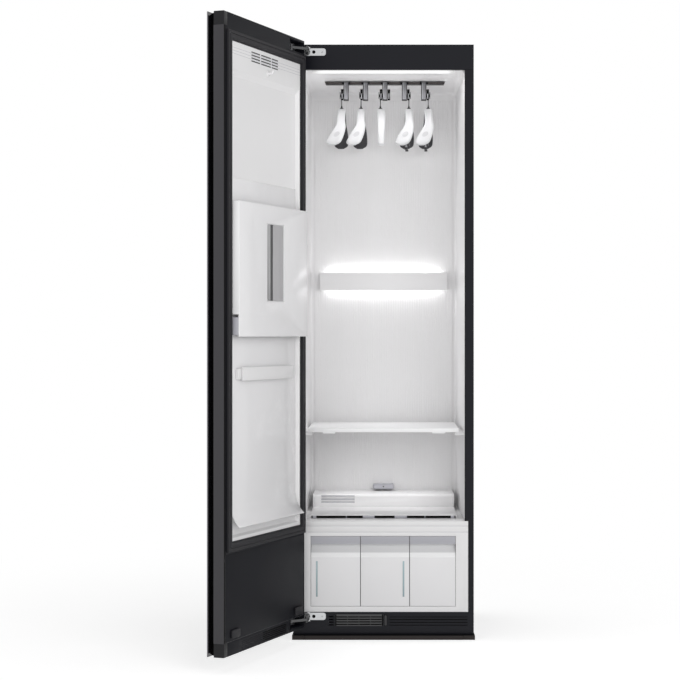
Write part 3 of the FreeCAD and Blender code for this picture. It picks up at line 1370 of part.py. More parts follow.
def press_plate():
    """The swinging plate of the trouser press: a pan with a notch for its latch, and two hinge ears."""
    body = solid_body("press_plate")
    back = f"{PRESS_FACE} - press_wall"
    pad(body, "XZ_Plane", [
        frame_loop(PRESS_LEFT, PRESS_RIGHT, "press_low", "press_high"),
        frame_loop(along("window_left"), f"{along('window_left')} + window_width", "window_low",
                   "window_low + window_height")], back, PRESS_FACE)
    skirt = f"{PRESS_FACE} - press_skirt"
    pad(body, "XZ_Plane", [frame_loop(f"{PRESS_RIGHT} - press_wall", PRESS_RIGHT, "press_low + press_notch",
                                      "press_high")], skirt, back)
    for low, high in (("press_high - press_wall", "press_high"), ("press_low", "press_low + press_wall")):
        pad(body, "XZ_Plane", [frame_loop(f"{PRESS_LEFT} + 12", f"{PRESS_RIGHT} - 14", low, high)],
            f"{back} - 10", back)
    ears = [
        cut(f"ear_cut_{number}",
            block(f"ear_{number}", (f"{PIVOT_X} - 5", f"{PIVOT_X} + 5"), (f"{PIVOT_Y} - 5", f"{back} + 1"), span),
            [rod(f"ear_bore_{number}", "z", (PIVOT_X, PIVOT_Y), "pin_radius + pin_play",
                 (f"{span[0]} - 1", f"{span[1]} + 1"))])
        for number, span in enumerate((("press_low + 26", "press_low + 38"), ("press_high - 38", "press_high - 26")))
    ]
    return on_door("press_plate", fuse("press_fuse", [body] + ears))


def press_window():
    """A grey pane set in the press plate's window, with a hollow for the crease board behind it."""
    left, wide = along("window_left"), "window_width"
    pane = block("window_pane", (f"{left} - 3", f"{left} + {wide} + 3"),
                 (f"{PRESS_FACE} - press_wall - 3", f"{PRESS_FACE} - press_wall"),
                 ("window_low - 3", "window_low + window_height + 3"))
    rib = block("window_rib", (f"{left} + {wide} * 0.38", f"{left} + {wide} * 0.5"),
                (f"{PRESS_FACE} - press_wall - 1", f"{PRESS_FACE} - 1"),
                ("window_low + 12", "window_low + window_height - 12"))
    return on_door("press_window", fuse("window_fuse", [pane, rib]))


def press_latch():
    """The sliding catch in the notch of the press plate."""
    body = block("latch_block", (f"{PRESS_RIGHT} - latch_width", f"{PRESS_RIGHT} - 0.2"),
                 (f"{PRESS_FACE} - press_skirt", f"{PRESS_FACE} - press_wall - 0.3"),
                 ("press_low + 4", "press_low + press_notch - 8"))
    edge = 1.5
    return on_door("press_latch", rounded("press_latch_ends", body, edge, lambda e: runs_along(e, "y"),
                                           "Part::Chamfer"))


# ---------------------------------------------------------------- hinge linkage

def hinge_plates():
    """Fixed plates on the front of the frame, each with two ears and a pin for the first arm."""
    pieces = []
    corner = 8.0
    ear = "arm_half + 1.5"
    for end, level in HINGES:
        plate = block(f"hinge_plate_{end}", ("hinge_plate_left", "hinge_plate_right"), ("-hinge_plate_thick", 0),
                      (f"{level} - hinge_plate_height / 2", f"{level} + hinge_plate_height / 2"))
        plate = rounded(f"hinge_plate_round_{end}", plate, corner,
                        lambda e: runs_along(e, "y") and e.Vertexes[0].Point.x > v.hinge_plate_right - 1)
        ears = [
            block(f"hinge_ear_{end}_{sign}", (f"root_pin_x - {ear}", f"root_pin_x + {ear}"),
                  (f"root_pin_y - {ear}", "-hinge_plate_thick / 2"),
                  (f"{level} + {9.2 if sign > 0 else -14}", f"{level} + {14 if sign > 0 else -9.2}"))
            for sign in (-1, 1)
        ]
        pin = rod(f"hinge_pin_{end}", "z", ("root_pin_x", "root_pin_y"), "pin_radius",
                  (f"{level} - 12", f"{level} + 12"))
        pieces.append(fuse(f"hinge_fixed_{end}", [plate, pin] + ears))
    return keep("hinge_plates", group("hinge_plates_group", pieces))


def turned(obj, x, y, angle):
    """Turn a piece drawn along +X from the origin, and carry its first pin to a place."""
    obj.Placement = FreeCAD.Placement(FreeCAD.Vector(x, y, 0), FreeCAD.Rotation(FreeCAD.Vector(0, 0, 1), angle))
    return obj


def arm_plate(name, length, low, high):
    """A flat link with round ends, drawn along +X from its first pin."""
    bar = block(f"{name}_bar", (0, length), ("-arm_half", "arm_half"), (low, high))
    near = rod(f"{name}_near", "z", (0, 0), "arm_half", (low, high), 16)
    far = rod(f"{name}_far", "z", (length, 0), "arm_half", (low, high), 16)
    return fuse(f"{name}_link", [bar, near, far])


def hinge_arms_cabinet():
    """The first arms: two flat links joined at the fixed pin, open between them at the elbow."""
    pieces = []
    for end, level in HINGES:
        links = [arm_plate(f"root_arm_{end}_{number}", "root_arm", f"{level} + {low}", f"{level} + {low + 3.5}")
                 for number, low in enumerate((-8.5, 5.0))]
        barrel = rod(f"root_barrel_{end}", "z", (0, 0), "arm_half", (f"{level} - 8.5", f"{level} + 8.5"), 16)
        bore = rod(f"root_bore_{end}", "z", (0, 0), "pin_radius + pin_play", (f"{level} - 9", f"{level} + 9"))
        heads = [rod(f"root_head_{end}_{number}", "z", ("root_arm", 0), 3.4,
                     (f"{level} + {low}", f"{level} + {low + 1.5}"), 12)
                 for number, low in enumerate((-10.0, 8.5))]
        pieces.append(cut(f"root_arm_cut_{end}", fuse(f"root_arm_fuse_{end}", links + heads + [barrel]), [bore]))
    arms = group("root_arms_group", pieces)
    return keep("hinge_arms_cabinet", turned(arms, v.root_pin_x, v.root_pin_y, v.root_arm_turn))


def door_point(x, y):
    """A point of the closed door, carried to the open rest."""
    turn = math.radians(-v.door_open_angle)
    across, back = x - v.pole_x, y - v.pole_y
    return (v.pole_x + across * math.cos(turn) - back * math.sin(turn),
            v.pole_y + across * math.sin(turn) + back * math.cos(turn))


def hinge_arms_door():
    """The second arms, from the pin in the door's pocket to the elbow."""
    pieces = []
    for end, level in HINGES:
        link = arm_plate(f"door_arm_{end}", "door_arm", f"{level} - 4", f"{level} + 4")
        bore = rod(f"door_bore_{end}", "z", (0, 0), "pin_radius - 0.5 + pin_play", (f"{level} - 5", f"{level} + 5"))
        pieces.append(cut(f"door_arm_cut_{end}", link, [bore]))
    arms = group("door_arms_group", pieces)
    pin_x, pin_y = door_point(v.root_pin_x, v.door_pin_y)
    return keep("hinge_arms_door", turned(arms, pin_x, pin_y, v.door_arm_turn))


# ---------------------------------------------------------------- assembly

def build():
    side_panel("left", -1)
    side_panel("right", 1)
    top_panel()
    back_panel()
    base_pan()
    frame_stiles()
    top_fascia()
    plinth()
    rear_feet()
    cavity_liner()
    rear_wall_panel()
    duct_housing()
    outlet_grille()
    steam_nozzle()
    floor_tray()
    lint_filter()
    ceiling_lamp()
    light_bar()
    shelf()
    hanger_rail()
    rail_drive()
    rail_holders()
    for number in HOLDERS:
        _, peg_x, neck = hanger(number)
        if number >= 3:
            trouser_clips(number, peg_x, neck)
    machine_panel()
    drawer("supply_tank", "-bay_left", "first_split", True)
    drawer("drain_tank", "first_split", "second_split", True)
    drawer("aroma_drawer", "second_split", "bay_right", False)
    base_grille()
    vent_insert()
    vent_latch()
    compressor()
    heat_exchangers()
    fan_housing()
    fan_rotor()
    steam_generator()
    control_board()
    power_inlet()
    door_glass_panel()
    door_frame()
    door_end_caps()
    door_liner()
    door_gasket()
    door_lower_panel()
    door_bottom_trim()
    door_bumpers()
    door_hook()
    trouser_plate()
    hem_bar()
    press_plate()
    press_window()
    press_latch()
    hinge_plates()
    hinge_arms_cabinet()
    hinge_arms_door()


def check():
    """Stop if any object failed or any sub-part has no valid shape."""
    for obj in doc.Objects:
        if "Invalid" in obj.State or "Error" in obj.State:
            raise RuntimeError(f"{obj.Label} is {obj.State}")
    for label, obj in kept.items():
        if obj.Shape.isNull() or not obj.Shape.isValid() or not obj.Shape.Solids:
            raise RuntimeError(f"{label} has no valid shape")


def write():
    os.makedirs("parts", exist_ok=True)
    for label, obj in kept.items():
        obj.Shape.exportStep(os.path.join("parts", f"{label}.step"))
    print(f"{len(kept)} sub-parts written")


build()
doc.recompute()
check()
write()
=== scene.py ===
"""Finished looks of a clothes care steam cabinet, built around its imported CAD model.

Lengths in the shapes are millimetres in the cabinet's frame; they become metres when a piece is made.
Door pieces are drawn in the closed position and turned about the hinge's pole to the open rest.
"""
import json
import math

import bmesh
import bpy
from bpy.props import FloatProperty, FloatVectorProperty, PointerProperty
from mathutils import Matrix, Vector

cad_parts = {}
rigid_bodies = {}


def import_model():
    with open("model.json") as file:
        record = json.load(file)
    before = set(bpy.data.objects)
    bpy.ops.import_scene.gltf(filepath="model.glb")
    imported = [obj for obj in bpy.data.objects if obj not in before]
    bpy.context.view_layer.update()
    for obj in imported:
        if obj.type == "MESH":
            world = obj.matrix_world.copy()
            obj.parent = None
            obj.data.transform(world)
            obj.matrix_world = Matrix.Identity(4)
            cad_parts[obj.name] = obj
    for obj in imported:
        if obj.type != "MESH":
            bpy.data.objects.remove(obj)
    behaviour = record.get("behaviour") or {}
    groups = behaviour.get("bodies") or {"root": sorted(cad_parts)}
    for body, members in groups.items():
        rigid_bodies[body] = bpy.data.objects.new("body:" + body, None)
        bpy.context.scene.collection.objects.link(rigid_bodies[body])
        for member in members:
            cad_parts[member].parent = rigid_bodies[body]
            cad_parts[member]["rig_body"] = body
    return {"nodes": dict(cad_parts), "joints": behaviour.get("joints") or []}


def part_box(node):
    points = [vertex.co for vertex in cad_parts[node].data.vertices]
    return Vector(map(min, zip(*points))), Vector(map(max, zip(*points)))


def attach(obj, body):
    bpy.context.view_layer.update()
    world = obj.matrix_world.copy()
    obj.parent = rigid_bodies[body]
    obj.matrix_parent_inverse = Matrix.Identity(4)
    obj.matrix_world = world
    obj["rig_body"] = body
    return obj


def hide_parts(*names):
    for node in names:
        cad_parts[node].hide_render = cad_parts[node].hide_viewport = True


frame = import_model()

bl_info = {
    "name": "Clothes care steam cabinet",
    "version": (1, 0, 0),
    "blender": (4, 5, 0),
    "location": "View3D > Sidebar > Cabinet",
    "description": "Finishes and detail for a clothes care steam cabinet",
    "category": "Object",
}

MM = 0.001
SWING = next(joint for joint in frame["joints"] if joint["name"] == "door_swing")
POLE = Vector(SWING["pos_m"]) / MM
TO_OPEN = (Matrix.Translation(POLE) @ Matrix.Rotation(math.radians(SWING["range_deg"][0]), 4, "Z")
           @ Matrix.Translation(-POLE))


def span(node):
    """The lowest and highest corners of a CAD node, in millimetres."""
    return tuple(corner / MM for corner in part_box(node))


def span_closed(node):
    """The corners of a door node in the closed position, in millimetres."""
    turn = TO_OPEN.inverted() @ Matrix.Scale(1 / MM, 4) @ frame["nodes"][node].matrix_world
    corners = [turn @ vert.co for vert in frame["nodes"][node].data.vertices]
    return tuple(Vector([pick(corner[k] for corner in corners) for k in range(3)]) for pick in (min, max))


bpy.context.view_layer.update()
HALF = span("top_fascia")[1].x
TOP = span("top_fascia")[1].z
INNER = -8.0  # the closed door's inner face, along Y
CORE_BACK = -42.0  # the back of the door's core, along Y


# ---------------------------------------------------------------- sizes and colours

def length(name, description, default):
    return FloatProperty(name=name, description=description, default=default * MM, min=0.0,
                         subtype="DISTANCE", unit="LENGTH")


def tint(name, description, default):
    return FloatVectorProperty(name=name, description=description, default=default, min=0.0, max=1.0,
                               size=3, subtype="COLOR")


class CabinetSizes(bpy.types.PropertyGroup):
    sheet_edge: length("Sheet edge", "Rounding along the edges of folded steel", 0.5)
    moulded_edge: length("Moulded edge", "Rounding along the edges of moulded covers", 1.0)
    soft_edge: length("Soft edge", "Rounding along the edges of the press and the shelf", 1.6)
    machined_edge: length("Machined edge", "Rounding along the edges of hinge metal", 0.6)
    hook_wire: length("Hook wire", "Radius of the wire of a hanger's hook", 1.5)
    hook_radius: length("Hook radius", "Radius of a hanger's hook at the middle of its wire", 8.2)
    arm_reach: length("Shoulder reach", "From a hanger's neck to the tip of one shoulder", 178.0)
    arm_drop: length("Shoulder drop", "How far a shoulder's tip lies below its neck", 122.0)
    arm_thick: length("Shoulder thickness", "Thickness of a hanger's shoulder at its middle", 15.0)
    seal_width: length("Seal width", "Width of the door's seal", 28.0)


class CabinetColours(bpy.types.PropertyGroup):
    shell: tint("Shell", "Coated steel and front covers", (0.0050, 0.0053, 0.0082))
    trim: tint("Trim", "Grained black plastic", (0.0080, 0.0080, 0.0092))
    glass: tint("Glass", "Mirror glass of the door", (0.004, 0.004, 0.005))
    rubber: tint("Rubber", "Seal and bumpers", (0.0165, 0.0160, 0.0185))
    liner: tint("Liner", "White room and machine front", (0.80, 0.795, 0.80))
    grey: tint("Grey", "Grip strips and grille of the drawers", (0.415, 0.415, 0.450))
    level: tint("Level window", "Water level windows", (0.31, 0.42, 0.45))
    steel: tint("Steel", "Bright hinge steel", (0.62, 0.63, 0.64))
    light: tint("Light", "Lamp covers", (1.0, 1.0, 1.0))


# ---------------------------------------------------------------- shader maths

class Signal:
    """A node's output that can be used in sums; each sum adds its own Math or Vector Math node."""

    def __init__(self, web, socket):
        self.web, self.socket = web, socket

    def _maths(self, operation, one, two):
        vector = any(isinstance(value, Signal) and value.socket.type == "VECTOR" for value in (one, two))
        kind = "ShaderNodeVectorMath" if vector else "ShaderNodeMath"
        return self.web.node(kind, {"operation": operation}, {0: one, 1: two})

    def __add__(self, other):
        return self._maths("ADD", self, other)

    def __radd__(self, other):
        return self._maths("ADD", other, self)

    def __sub__(self, other):
        return self._maths("SUBTRACT", self, other)

    def __rsub__(self, other):
        return self._maths("SUBTRACT", other, self)

    def __mul__(self, other):
        return self._maths("MULTIPLY", self, other)

    def __rmul__(self, other):
        return self._maths("MULTIPLY", other, self)


class Web:
    """A node tree that starts empty."""

    def __init__(self, owner):
        owner.use_nodes = True
        self.tree = owner.node_tree
        self.tree.nodes.clear()

    def feed(self, socket, value):
        if isinstance(value, Signal):
            self.tree.links.new(value.socket, socket)
        elif socket.type == "RGBA" and len(value) == 3:
            socket.default_value = (*value, 1.0)
        else:
            socket.default_value = value

    def node(self, kind, settings=None, inputs=None, output=0):
        """Add a node: its settings first, then the values or links of its sockets."""
        made = self.tree.nodes.new(kind)
        for setting, value in (settings or {}).items():
            setattr(made, setting, value)
        for socket, value in (inputs or {}).items():
            self.feed(made.inputs[socket], value)
        return Signal(self, made.outputs[output]) if made.outputs else None

    def seen_plainly(self):
        """One for rays that show the background itself: straight, mirrored or through glass."""
        path = self.tree.nodes.new("ShaderNodeLightPath")
        straight, mirrored, through = (Signal(self, path.outputs[f"Is {kind} Ray"])
                                       for kind in ("Camera", "Glossy", "Transmission"))
        return straight + mirrored + through


class Finish(Web):
    """A material on one Principled shader, whose constants are set once by the names of its sockets."""

    def __init__(self, name, **constants):
        self.material = bpy.data.materials.new(name)
        super().__init__(self.material)
        self.shader = self.tree.nodes.new("ShaderNodeBsdfPrincipled")
        self.result = self.tree.nodes.new("ShaderNodeOutputMaterial")
        self.tree.links.new(self.shader.outputs[0], self.result.inputs[0])
        for socket, value in constants.items():
            self.feed(self.shader.inputs[socket.replace("_", " ")], value)

    def place(self, stretch=(1.0, 1.0, 1.0)):
        """The piece's own coordinates in metres, stretched per axis."""
        here = self.node("ShaderNodeTexCoord", output="Object")
        return here if stretch == (1.0, 1.0, 1.0) else here * stretch

    def noise(self, scale, detail=2.0, stretch=(1.0, 1.0, 1.0)):
        return self.node("ShaderNodeTexNoise", {}, {"Vector": self.place(stretch), "Scale": scale,
                                                    "Detail": detail, "Roughness": 0.5}, "Fac")

    def axis(self, letter):
        """One coordinate of the piece's own frame."""
        return self.node("ShaderNodeSeparateXYZ", {}, {0: self.place()}, letter)

    def ranged(self, value, low, high, first=0.0, last=1.0):
        """The value's place between low and high, carried to first and last."""
        return self.node("ShaderNodeMapRange", {"interpolation_type": "SMOOTHSTEP"},
                         {"Value": value, "From Min": low, "From Max": high, "To Min": first, "To Max": last})

    def mix(self, factor, one, two):
        """A colour between two colours."""
        return self.node("ShaderNodeMix", {"data_type": "RGBA"}, {0: factor, 6: one, 7: two}, 2)

    def shade(self, **varying):
        for socket, value in varying.items():
            self.feed(self.shader.inputs[socket.replace("_", " ")], value)

    def relief(self, height, depth):
        """A bump of a depth in metres, into the shader's normal."""
        self.shade(Normal=self.node("ShaderNodeBump", {}, {"Height": height, "Distance": depth,
                                                           "Strength": 1.0}, "Normal"))


def scaled(colour, factor):
    return tuple(min(1.0, part * factor) for part in colour)


def moulded(name, colour, rough, grain, depth, tone=0.06, **constants):
    """Plastic or paint: a fine grain, slow changes of tone, and gloss that varies with both."""
    finish = Finish(name, **constants)
    slow, fine = finish.noise(5.0, 3.0), finish.noise(grain, 3.0)
    spread = 0.06
    finish.shade(Base_Color=finish.mix(slow, scaled(colour, 1 - tone), scaled(colour, 1 + tone)),
                 Roughness=rough + (slow - 0.5) * spread + (fine - 0.5) * spread)
    finish.relief(fine, depth)
    return finish.material


def brushed(name, colour, rough, stretch, grain, depth=0.00002, metallic=1.0):
    """Metal with fine lines along the axis that is stretched least."""
    finish = Finish(name, Metallic=metallic)
    lines, cloud = finish.noise(grain, 4.0, stretch), finish.noise(9.0, 3.0)
    finish.shade(Base_Color=finish.mix(lines, scaled(colour, 0.86), scaled(colour, 1.1)),
                 Roughness=rough + (lines - 0.5) * 0.14 + (cloud - 0.5) * 0.08)
    finish.relief(lines, depth)
    return finish.material


def mirror(name, colour):
    """Polished glass over black: a hard coat with faint smears."""
    finish = Finish(name, Coat_Weight=1.0, Coat_Roughness=0.02, IOR=1.5)
    smear = finish.noise(7.0, 4.0, (1.0, 1.0, 0.35))
    finish.shade(Base_Color=finish.mix(smear, colour, scaled(colour, 1.6)),
                 Roughness=finish.ranged(smear, 0.35, 0.75, 0.03, 0.11))
    finish.relief(finish.noise(3.0, 1.0), 0.00002)
    return finish.material


def lit(name, colour, strength, edge_at, edge_fade):
    """A lamp cover that dims towards its two ends."""
    finish = Finish(name, Roughness=0.35)
    reach = finish.node("ShaderNodeMath", {"operation": "ABSOLUTE"}, {0: finish.axis("X")})
    bright = finish.ranged(reach, edge_at, edge_fade, 1.0, 0.45)
    frost = finish.noise(1100.0, 2.0)
    finish.shade(Base_Color=finish.mix(frost, scaled(colour, 0.34), scaled(colour, 0.40)),
                 Emission_Color=finish.mix(bright, (0.0, 0.0, 0.0), colour))
    finish.shader.inputs["Emission Strength"].default_value = strength
    finish.relief(frost, 0.00002)
    return finish.material


def zinc(name, colour):
    """Galvanised sheet: spangles of differing tone."""
    finish = Finish(name, Metallic=0.9)
    flakes = finish.node("ShaderNodeTexVoronoi", {"feature": "F1"},
                         {"Vector": finish.place(), "Scale": 90.0}, "Color")
    tone = finish.node("ShaderNodeSeparateColor", {}, {0: flakes}, 0)
    finish.shade(Base_Color=finish.mix(tone, scaled(colour, 0.82), scaled(colour, 1.12)),
                 Roughness=0.42 + (tone - 0.5) * 0.16)
    finish.relief(finish.noise(240.0, 3.0), 0.00003)
    return finish.material


def mesh_cloth(name, colour):
    """The filter's fine mesh: crossing threads with darker holes between them."""
    finish = Finish(name, Roughness=0.6)
    pitch = 2 * math.pi / 0.0011
    waves = [finish.node("ShaderNodeMath", {"operation": "SINE"}, {0: finish.axis(letter) * pitch})
             for letter in ("X", "Y")]
    weave = waves[0] * waves[1] * 0.5 + 0.5
    finish.shade(Base_Color=finish.mix(weave, scaled(colour, 0.55), colour))
    finish.relief(weave, 0.0001)
    return finish.material


def water_window(name, colour):
    """A tinted level window, deeper in tone towards its foot."""
    finish = Finish(name, Coat_Weight=0.8, Coat_Roughness=0.05)
    depth = finish.ranged(finish.axis("Z"), 0.13, 0.26)
    ripple = finish.noise(60.0, 2.0)
    finish.shade(Base_Color=finish.mix(depth, scaled(colour, 0.86), scaled(colour, 1.12)),
                 Roughness=0.12 + ripple * 0.08)
    finish.relief(ripple, 0.00004)
    return finish.material


def fading(name, colour, low, high, dim):
    """A satin face that grows darker from one height to another."""
    finish = Finish(name)
    fall, fine = finish.ranged(finish.axis("Z"), low, high), finish.noise(900.0, 2.0)
    finish.shade(Base_Color=finish.mix(fall, colour, scaled(colour, dim)),
                 Roughness=0.32 + (fine - 0.5) * 0.08)
    finish.relief(fine, 0.00002)
    return finish.material


def pane(name, colour):
    """A frosted grey pane that grows paler towards its top."""
    finish = Finish(name, Coat_Weight=0.5, Coat_Roughness=0.12)
    frost = finish.noise(700.0, 2.0)
    rise = finish.ranged(finish.axis("Z"), 1.10, 1.35)
    finish.shade(Base_Color=finish.mix(rise, scaled(colour, 0.82), scaled(colour, 1.12)),
                 Roughness=0.34 + (frost - 0.5) * 0.1)
    finish.relief(frost, 0.00002)
    return finish.material


finishes = {}


def make_finishes(colours):
    shell, trim, rubber = tuple(colours.shell), tuple(colours.trim), tuple(colours.rubber)
    liner, grey, steel = tuple(colours.liner), tuple(colours.grey), tuple(colours.steel)
    along_x, along_z = (0.03, 1.0, 1.0), (1.0, 1.0, 0.03)
    finishes.update({
        "shell": moulded("satin black coat", shell, 0.42, 1500.0, 0.00002, 0.08, Specular_IOR_Level=0.23),
        "trim": moulded("grained black", trim, 0.50, 1900.0, 0.00005, 0.10, Specular_IOR_Level=0.26),
        # painted highlight: a lighter black for edges that face the light
        "edge_highlight": moulded("painted edge highlight black", (0.0215, 0.0205, 0.0245), 0.36, 1600.0, 0.00003),
        "plinth": moulded("brown black foot bar", (0.026, 0.022, 0.021), 0.54, 1200.0, 0.00005,
                          Specular_IOR_Level=0.20),
        "door_black": moulded("dull black sheet", scaled(shell, 0.8), 0.52, 1500.0, 0.00002, 0.08,
                              Specular_IOR_Level=0.12),
        # black: for black parts, and painted shade in gaps, holes and recesses
        "void": moulded("black and painted shade", (0.003, 0.003, 0.003), 0.7, 900.0, 0.00002, Specular_IOR_Level=0.1),
        "mirror": mirror("mirror black glass", tuple(colours.glass)),
        # painted reflection: grey for the white surroundings mirrored in the glass's polished edge
        "glass_edge_reflection": moulded("painted reflection on glass edge", (0.17, 0.165, 0.18), 0.30, 900.0, 0.00002),
        "rubber": moulded("seal rubber", rubber, 0.60, 1300.0, 0.00006, 0.12, Specular_IOR_Level=0.24),
        "liner": moulded("white satin liner", liner, 0.40, 420.0, 0.00001, 0.008),
        "shelf_white": moulded("bright shelf white", (0.90, 0.90, 0.905), 0.38, 420.0, 0.00001, 0.008),
        "fluted": moulded("white matt wall", scaled(liner, 0.925), 0.55, 900.0, 0.00002, 0.012),
        "matte": moulded("white matt moulding", scaled(liner, 0.96), 0.5, 1000.0, 0.00003, 0.012),
        "pearl": moulded("pearl white", (0.795, 0.79, 0.80), 0.26, 600.0, 0.00001, 0.01, Coat_Weight=0.4,
                         Coat_Roughness=0.12),
        "panel": moulded("machine front white", scaled(liner, 0.985), 0.30, 500.0, 0.00001, 0.008,
                         Coat_Weight=0.25, Coat_Roughness=0.2),
        "grey": moulded("mid grey strip", grey, 0.34, 1200.0, 0.00002, 0.03),
        # grey white: the pale grey of small grey parts, and painted shade in the drawers' grip recesses
        "grip": moulded("grey white and grip recess painted shade", (0.64, 0.64, 0.65), 0.38, 1000.0, 0.00002, 0.02),
        # painted highlight: a brighter white for bevels and edges that face the light
        "bevel": moulded("bevel painted highlight white", (0.88, 0.88, 0.885), 0.30, 900.0, 0.00001, 0.01),
        "grille": moulded("outlet grey", scaled(grey, 1.02), 0.42, 1100.0, 0.00003, 0.03),
        "cover_face": moulded("outlet cover face", scaled(grey, 1.10), 0.40, 1100.0, 0.00003, 0.03),
        # painted shade: dark grey for slots and holes that lie in shade
        "slot": moulded("slot painted shade grey", scaled(grey, 0.08), 0.5, 1100.0, 0.00003, 0.05),
        # painted shade: a grey line where a fine groove lies in shade
        "groove_shade": moulded("fine groove painted shade", scaled(grey, 1.05), 0.55, 1100.0, 0.00002, 0.04),
        # painted shade: grey lines for slots, shadow gaps and the shadows under steps
        "seam": moulded("painted shade line grey", scaled(grey, 1.25), 0.55, 1100.0, 0.00002, 0.04),
        "vent": moulded("vent grey", (0.055, 0.055, 0.057), 0.5, 1300.0, 0.00004, 0.05),
        "vent_dark": moulded("turn button grey", (0.022, 0.022, 0.024), 0.45, 1300.0, 0.00004, 0.05),
        "tank": moulded("smoky tank", (0.45, 0.47, 0.50), 0.22, 800.0, 0.00001, 0.03),
        "hanger_white": moulded("hanger white", (0.58, 0.58, 0.59), 0.42, 900.0, 0.00001, 0.006),
        "hanger_black": moulded("hanger black", (0.013, 0.013, 0.016), 0.42, 1700.0, 0.00004, 0.08),
        "hanger_notch": moulded("hanger notch grey", (0.46, 0.46, 0.47), 0.5, 900.0, 0.00002, 0.02),
        "holder": moulded("holder black", (0.012, 0.012, 0.014), 0.36, 1700.0, 0.00003, 0.08),
        "inlay": fading("holder inlay", (0.235, 0.235, 0.250), 1.800, 1.862, 0.50),
        # painted highlight: light grey glints on dark parts, and the sheen of the clips' steel blades
        "glint": moulded("painted glint grey", (0.46, 0.46, 0.48), 0.25, 900.0, 0.00002, 0.04),
        "rail": brushed("dark anodised rail", (0.080, 0.074, 0.073), 0.34, along_x, 900.0, 0.00001, 0.85),
        "hinge": brushed("satin hinge steel", scaled(steel, 0.97), 0.34, along_x, 900.0),
        "link": brushed("dark link steel", scaled(steel, 0.17), 0.34, along_x, 900.0),
        "pin": brushed("turned steel pin", steel, 0.22, along_z, 700.0),
        "wire": brushed("dark hook wire", (0.05, 0.05, 0.052), 0.28, along_z, 800.0, 0.00001, 0.9),
        "clip": moulded("clip black", (0.020, 0.020, 0.022), 0.4, 1600.0, 0.00004, 0.08),
        "galvanised": zinc("galvanised sheet", (0.50, 0.51, 0.52)),
        "fins": brushed("aluminium fins", (0.72, 0.73, 0.74), 0.36, along_z, 500.0),
        "iron": moulded("black painted pot", (0.018, 0.018, 0.019), 0.3, 160.0, 0.0001, 0.15),
        "boiler": brushed("boiler steel", (0.55, 0.55, 0.54), 0.38, along_x, 400.0),
        "board": moulded("grey electronics box", (0.11, 0.115, 0.12), 0.5, 1500.0, 0.00004, 0.05),
        "cloth": mesh_cloth("filter mesh", (0.24, 0.24, 0.25)),
        "level": water_window("teal level window", tuple(colours.level)),
        "pane": pane("frosted pane", (0.30, 0.30, 0.305)),
        "pane_light": moulded("frosted pane over white", (0.415, 0.41, 0.42), 0.35, 700.0, 0.00002, 0.03),
        "pane_dark": moulded("shadowed slot of the board", (0.042, 0.042, 0.044), 0.40, 700.0, 0.00002, 0.03),
        "lamp": lit("ceiling lamp cover", tuple(colours.light), 0.74, 0.20, 0.236),
        "strip": lit("light strip", tuple(colours.light), 1.1, 0.17, 0.215),
    })


# ---------------------------------------------------------------- shapes

def soften(part, edges, offset, segments=2):
    """Round some edges of a mesh and shade the new faces as curves."""
    made = bmesh.ops.bevel(part, geom=edges, offset=offset, segments=segments, profile=0.5, affect="EDGES",
                           clamp_overlap=True)
    for face in made["faces"]:
        face.smooth = True


def shade_curves(part):
    """Shade each face that meets a neighbour at a shallow angle as part of a curve."""
    for face in part.faces:
        angles = [edge.calc_face_angle(0.0) for edge in face.edges]
        face.smooth = any(math.radians(1.5) < angle < math.radians(32.0) for angle in angles)


def clear_corners(part):
    """The edges at which two faces meet at a clear corner."""
    return [edge for edge in part.edges if edge.calc_face_angle(0.0) > math.radians(35.0)]


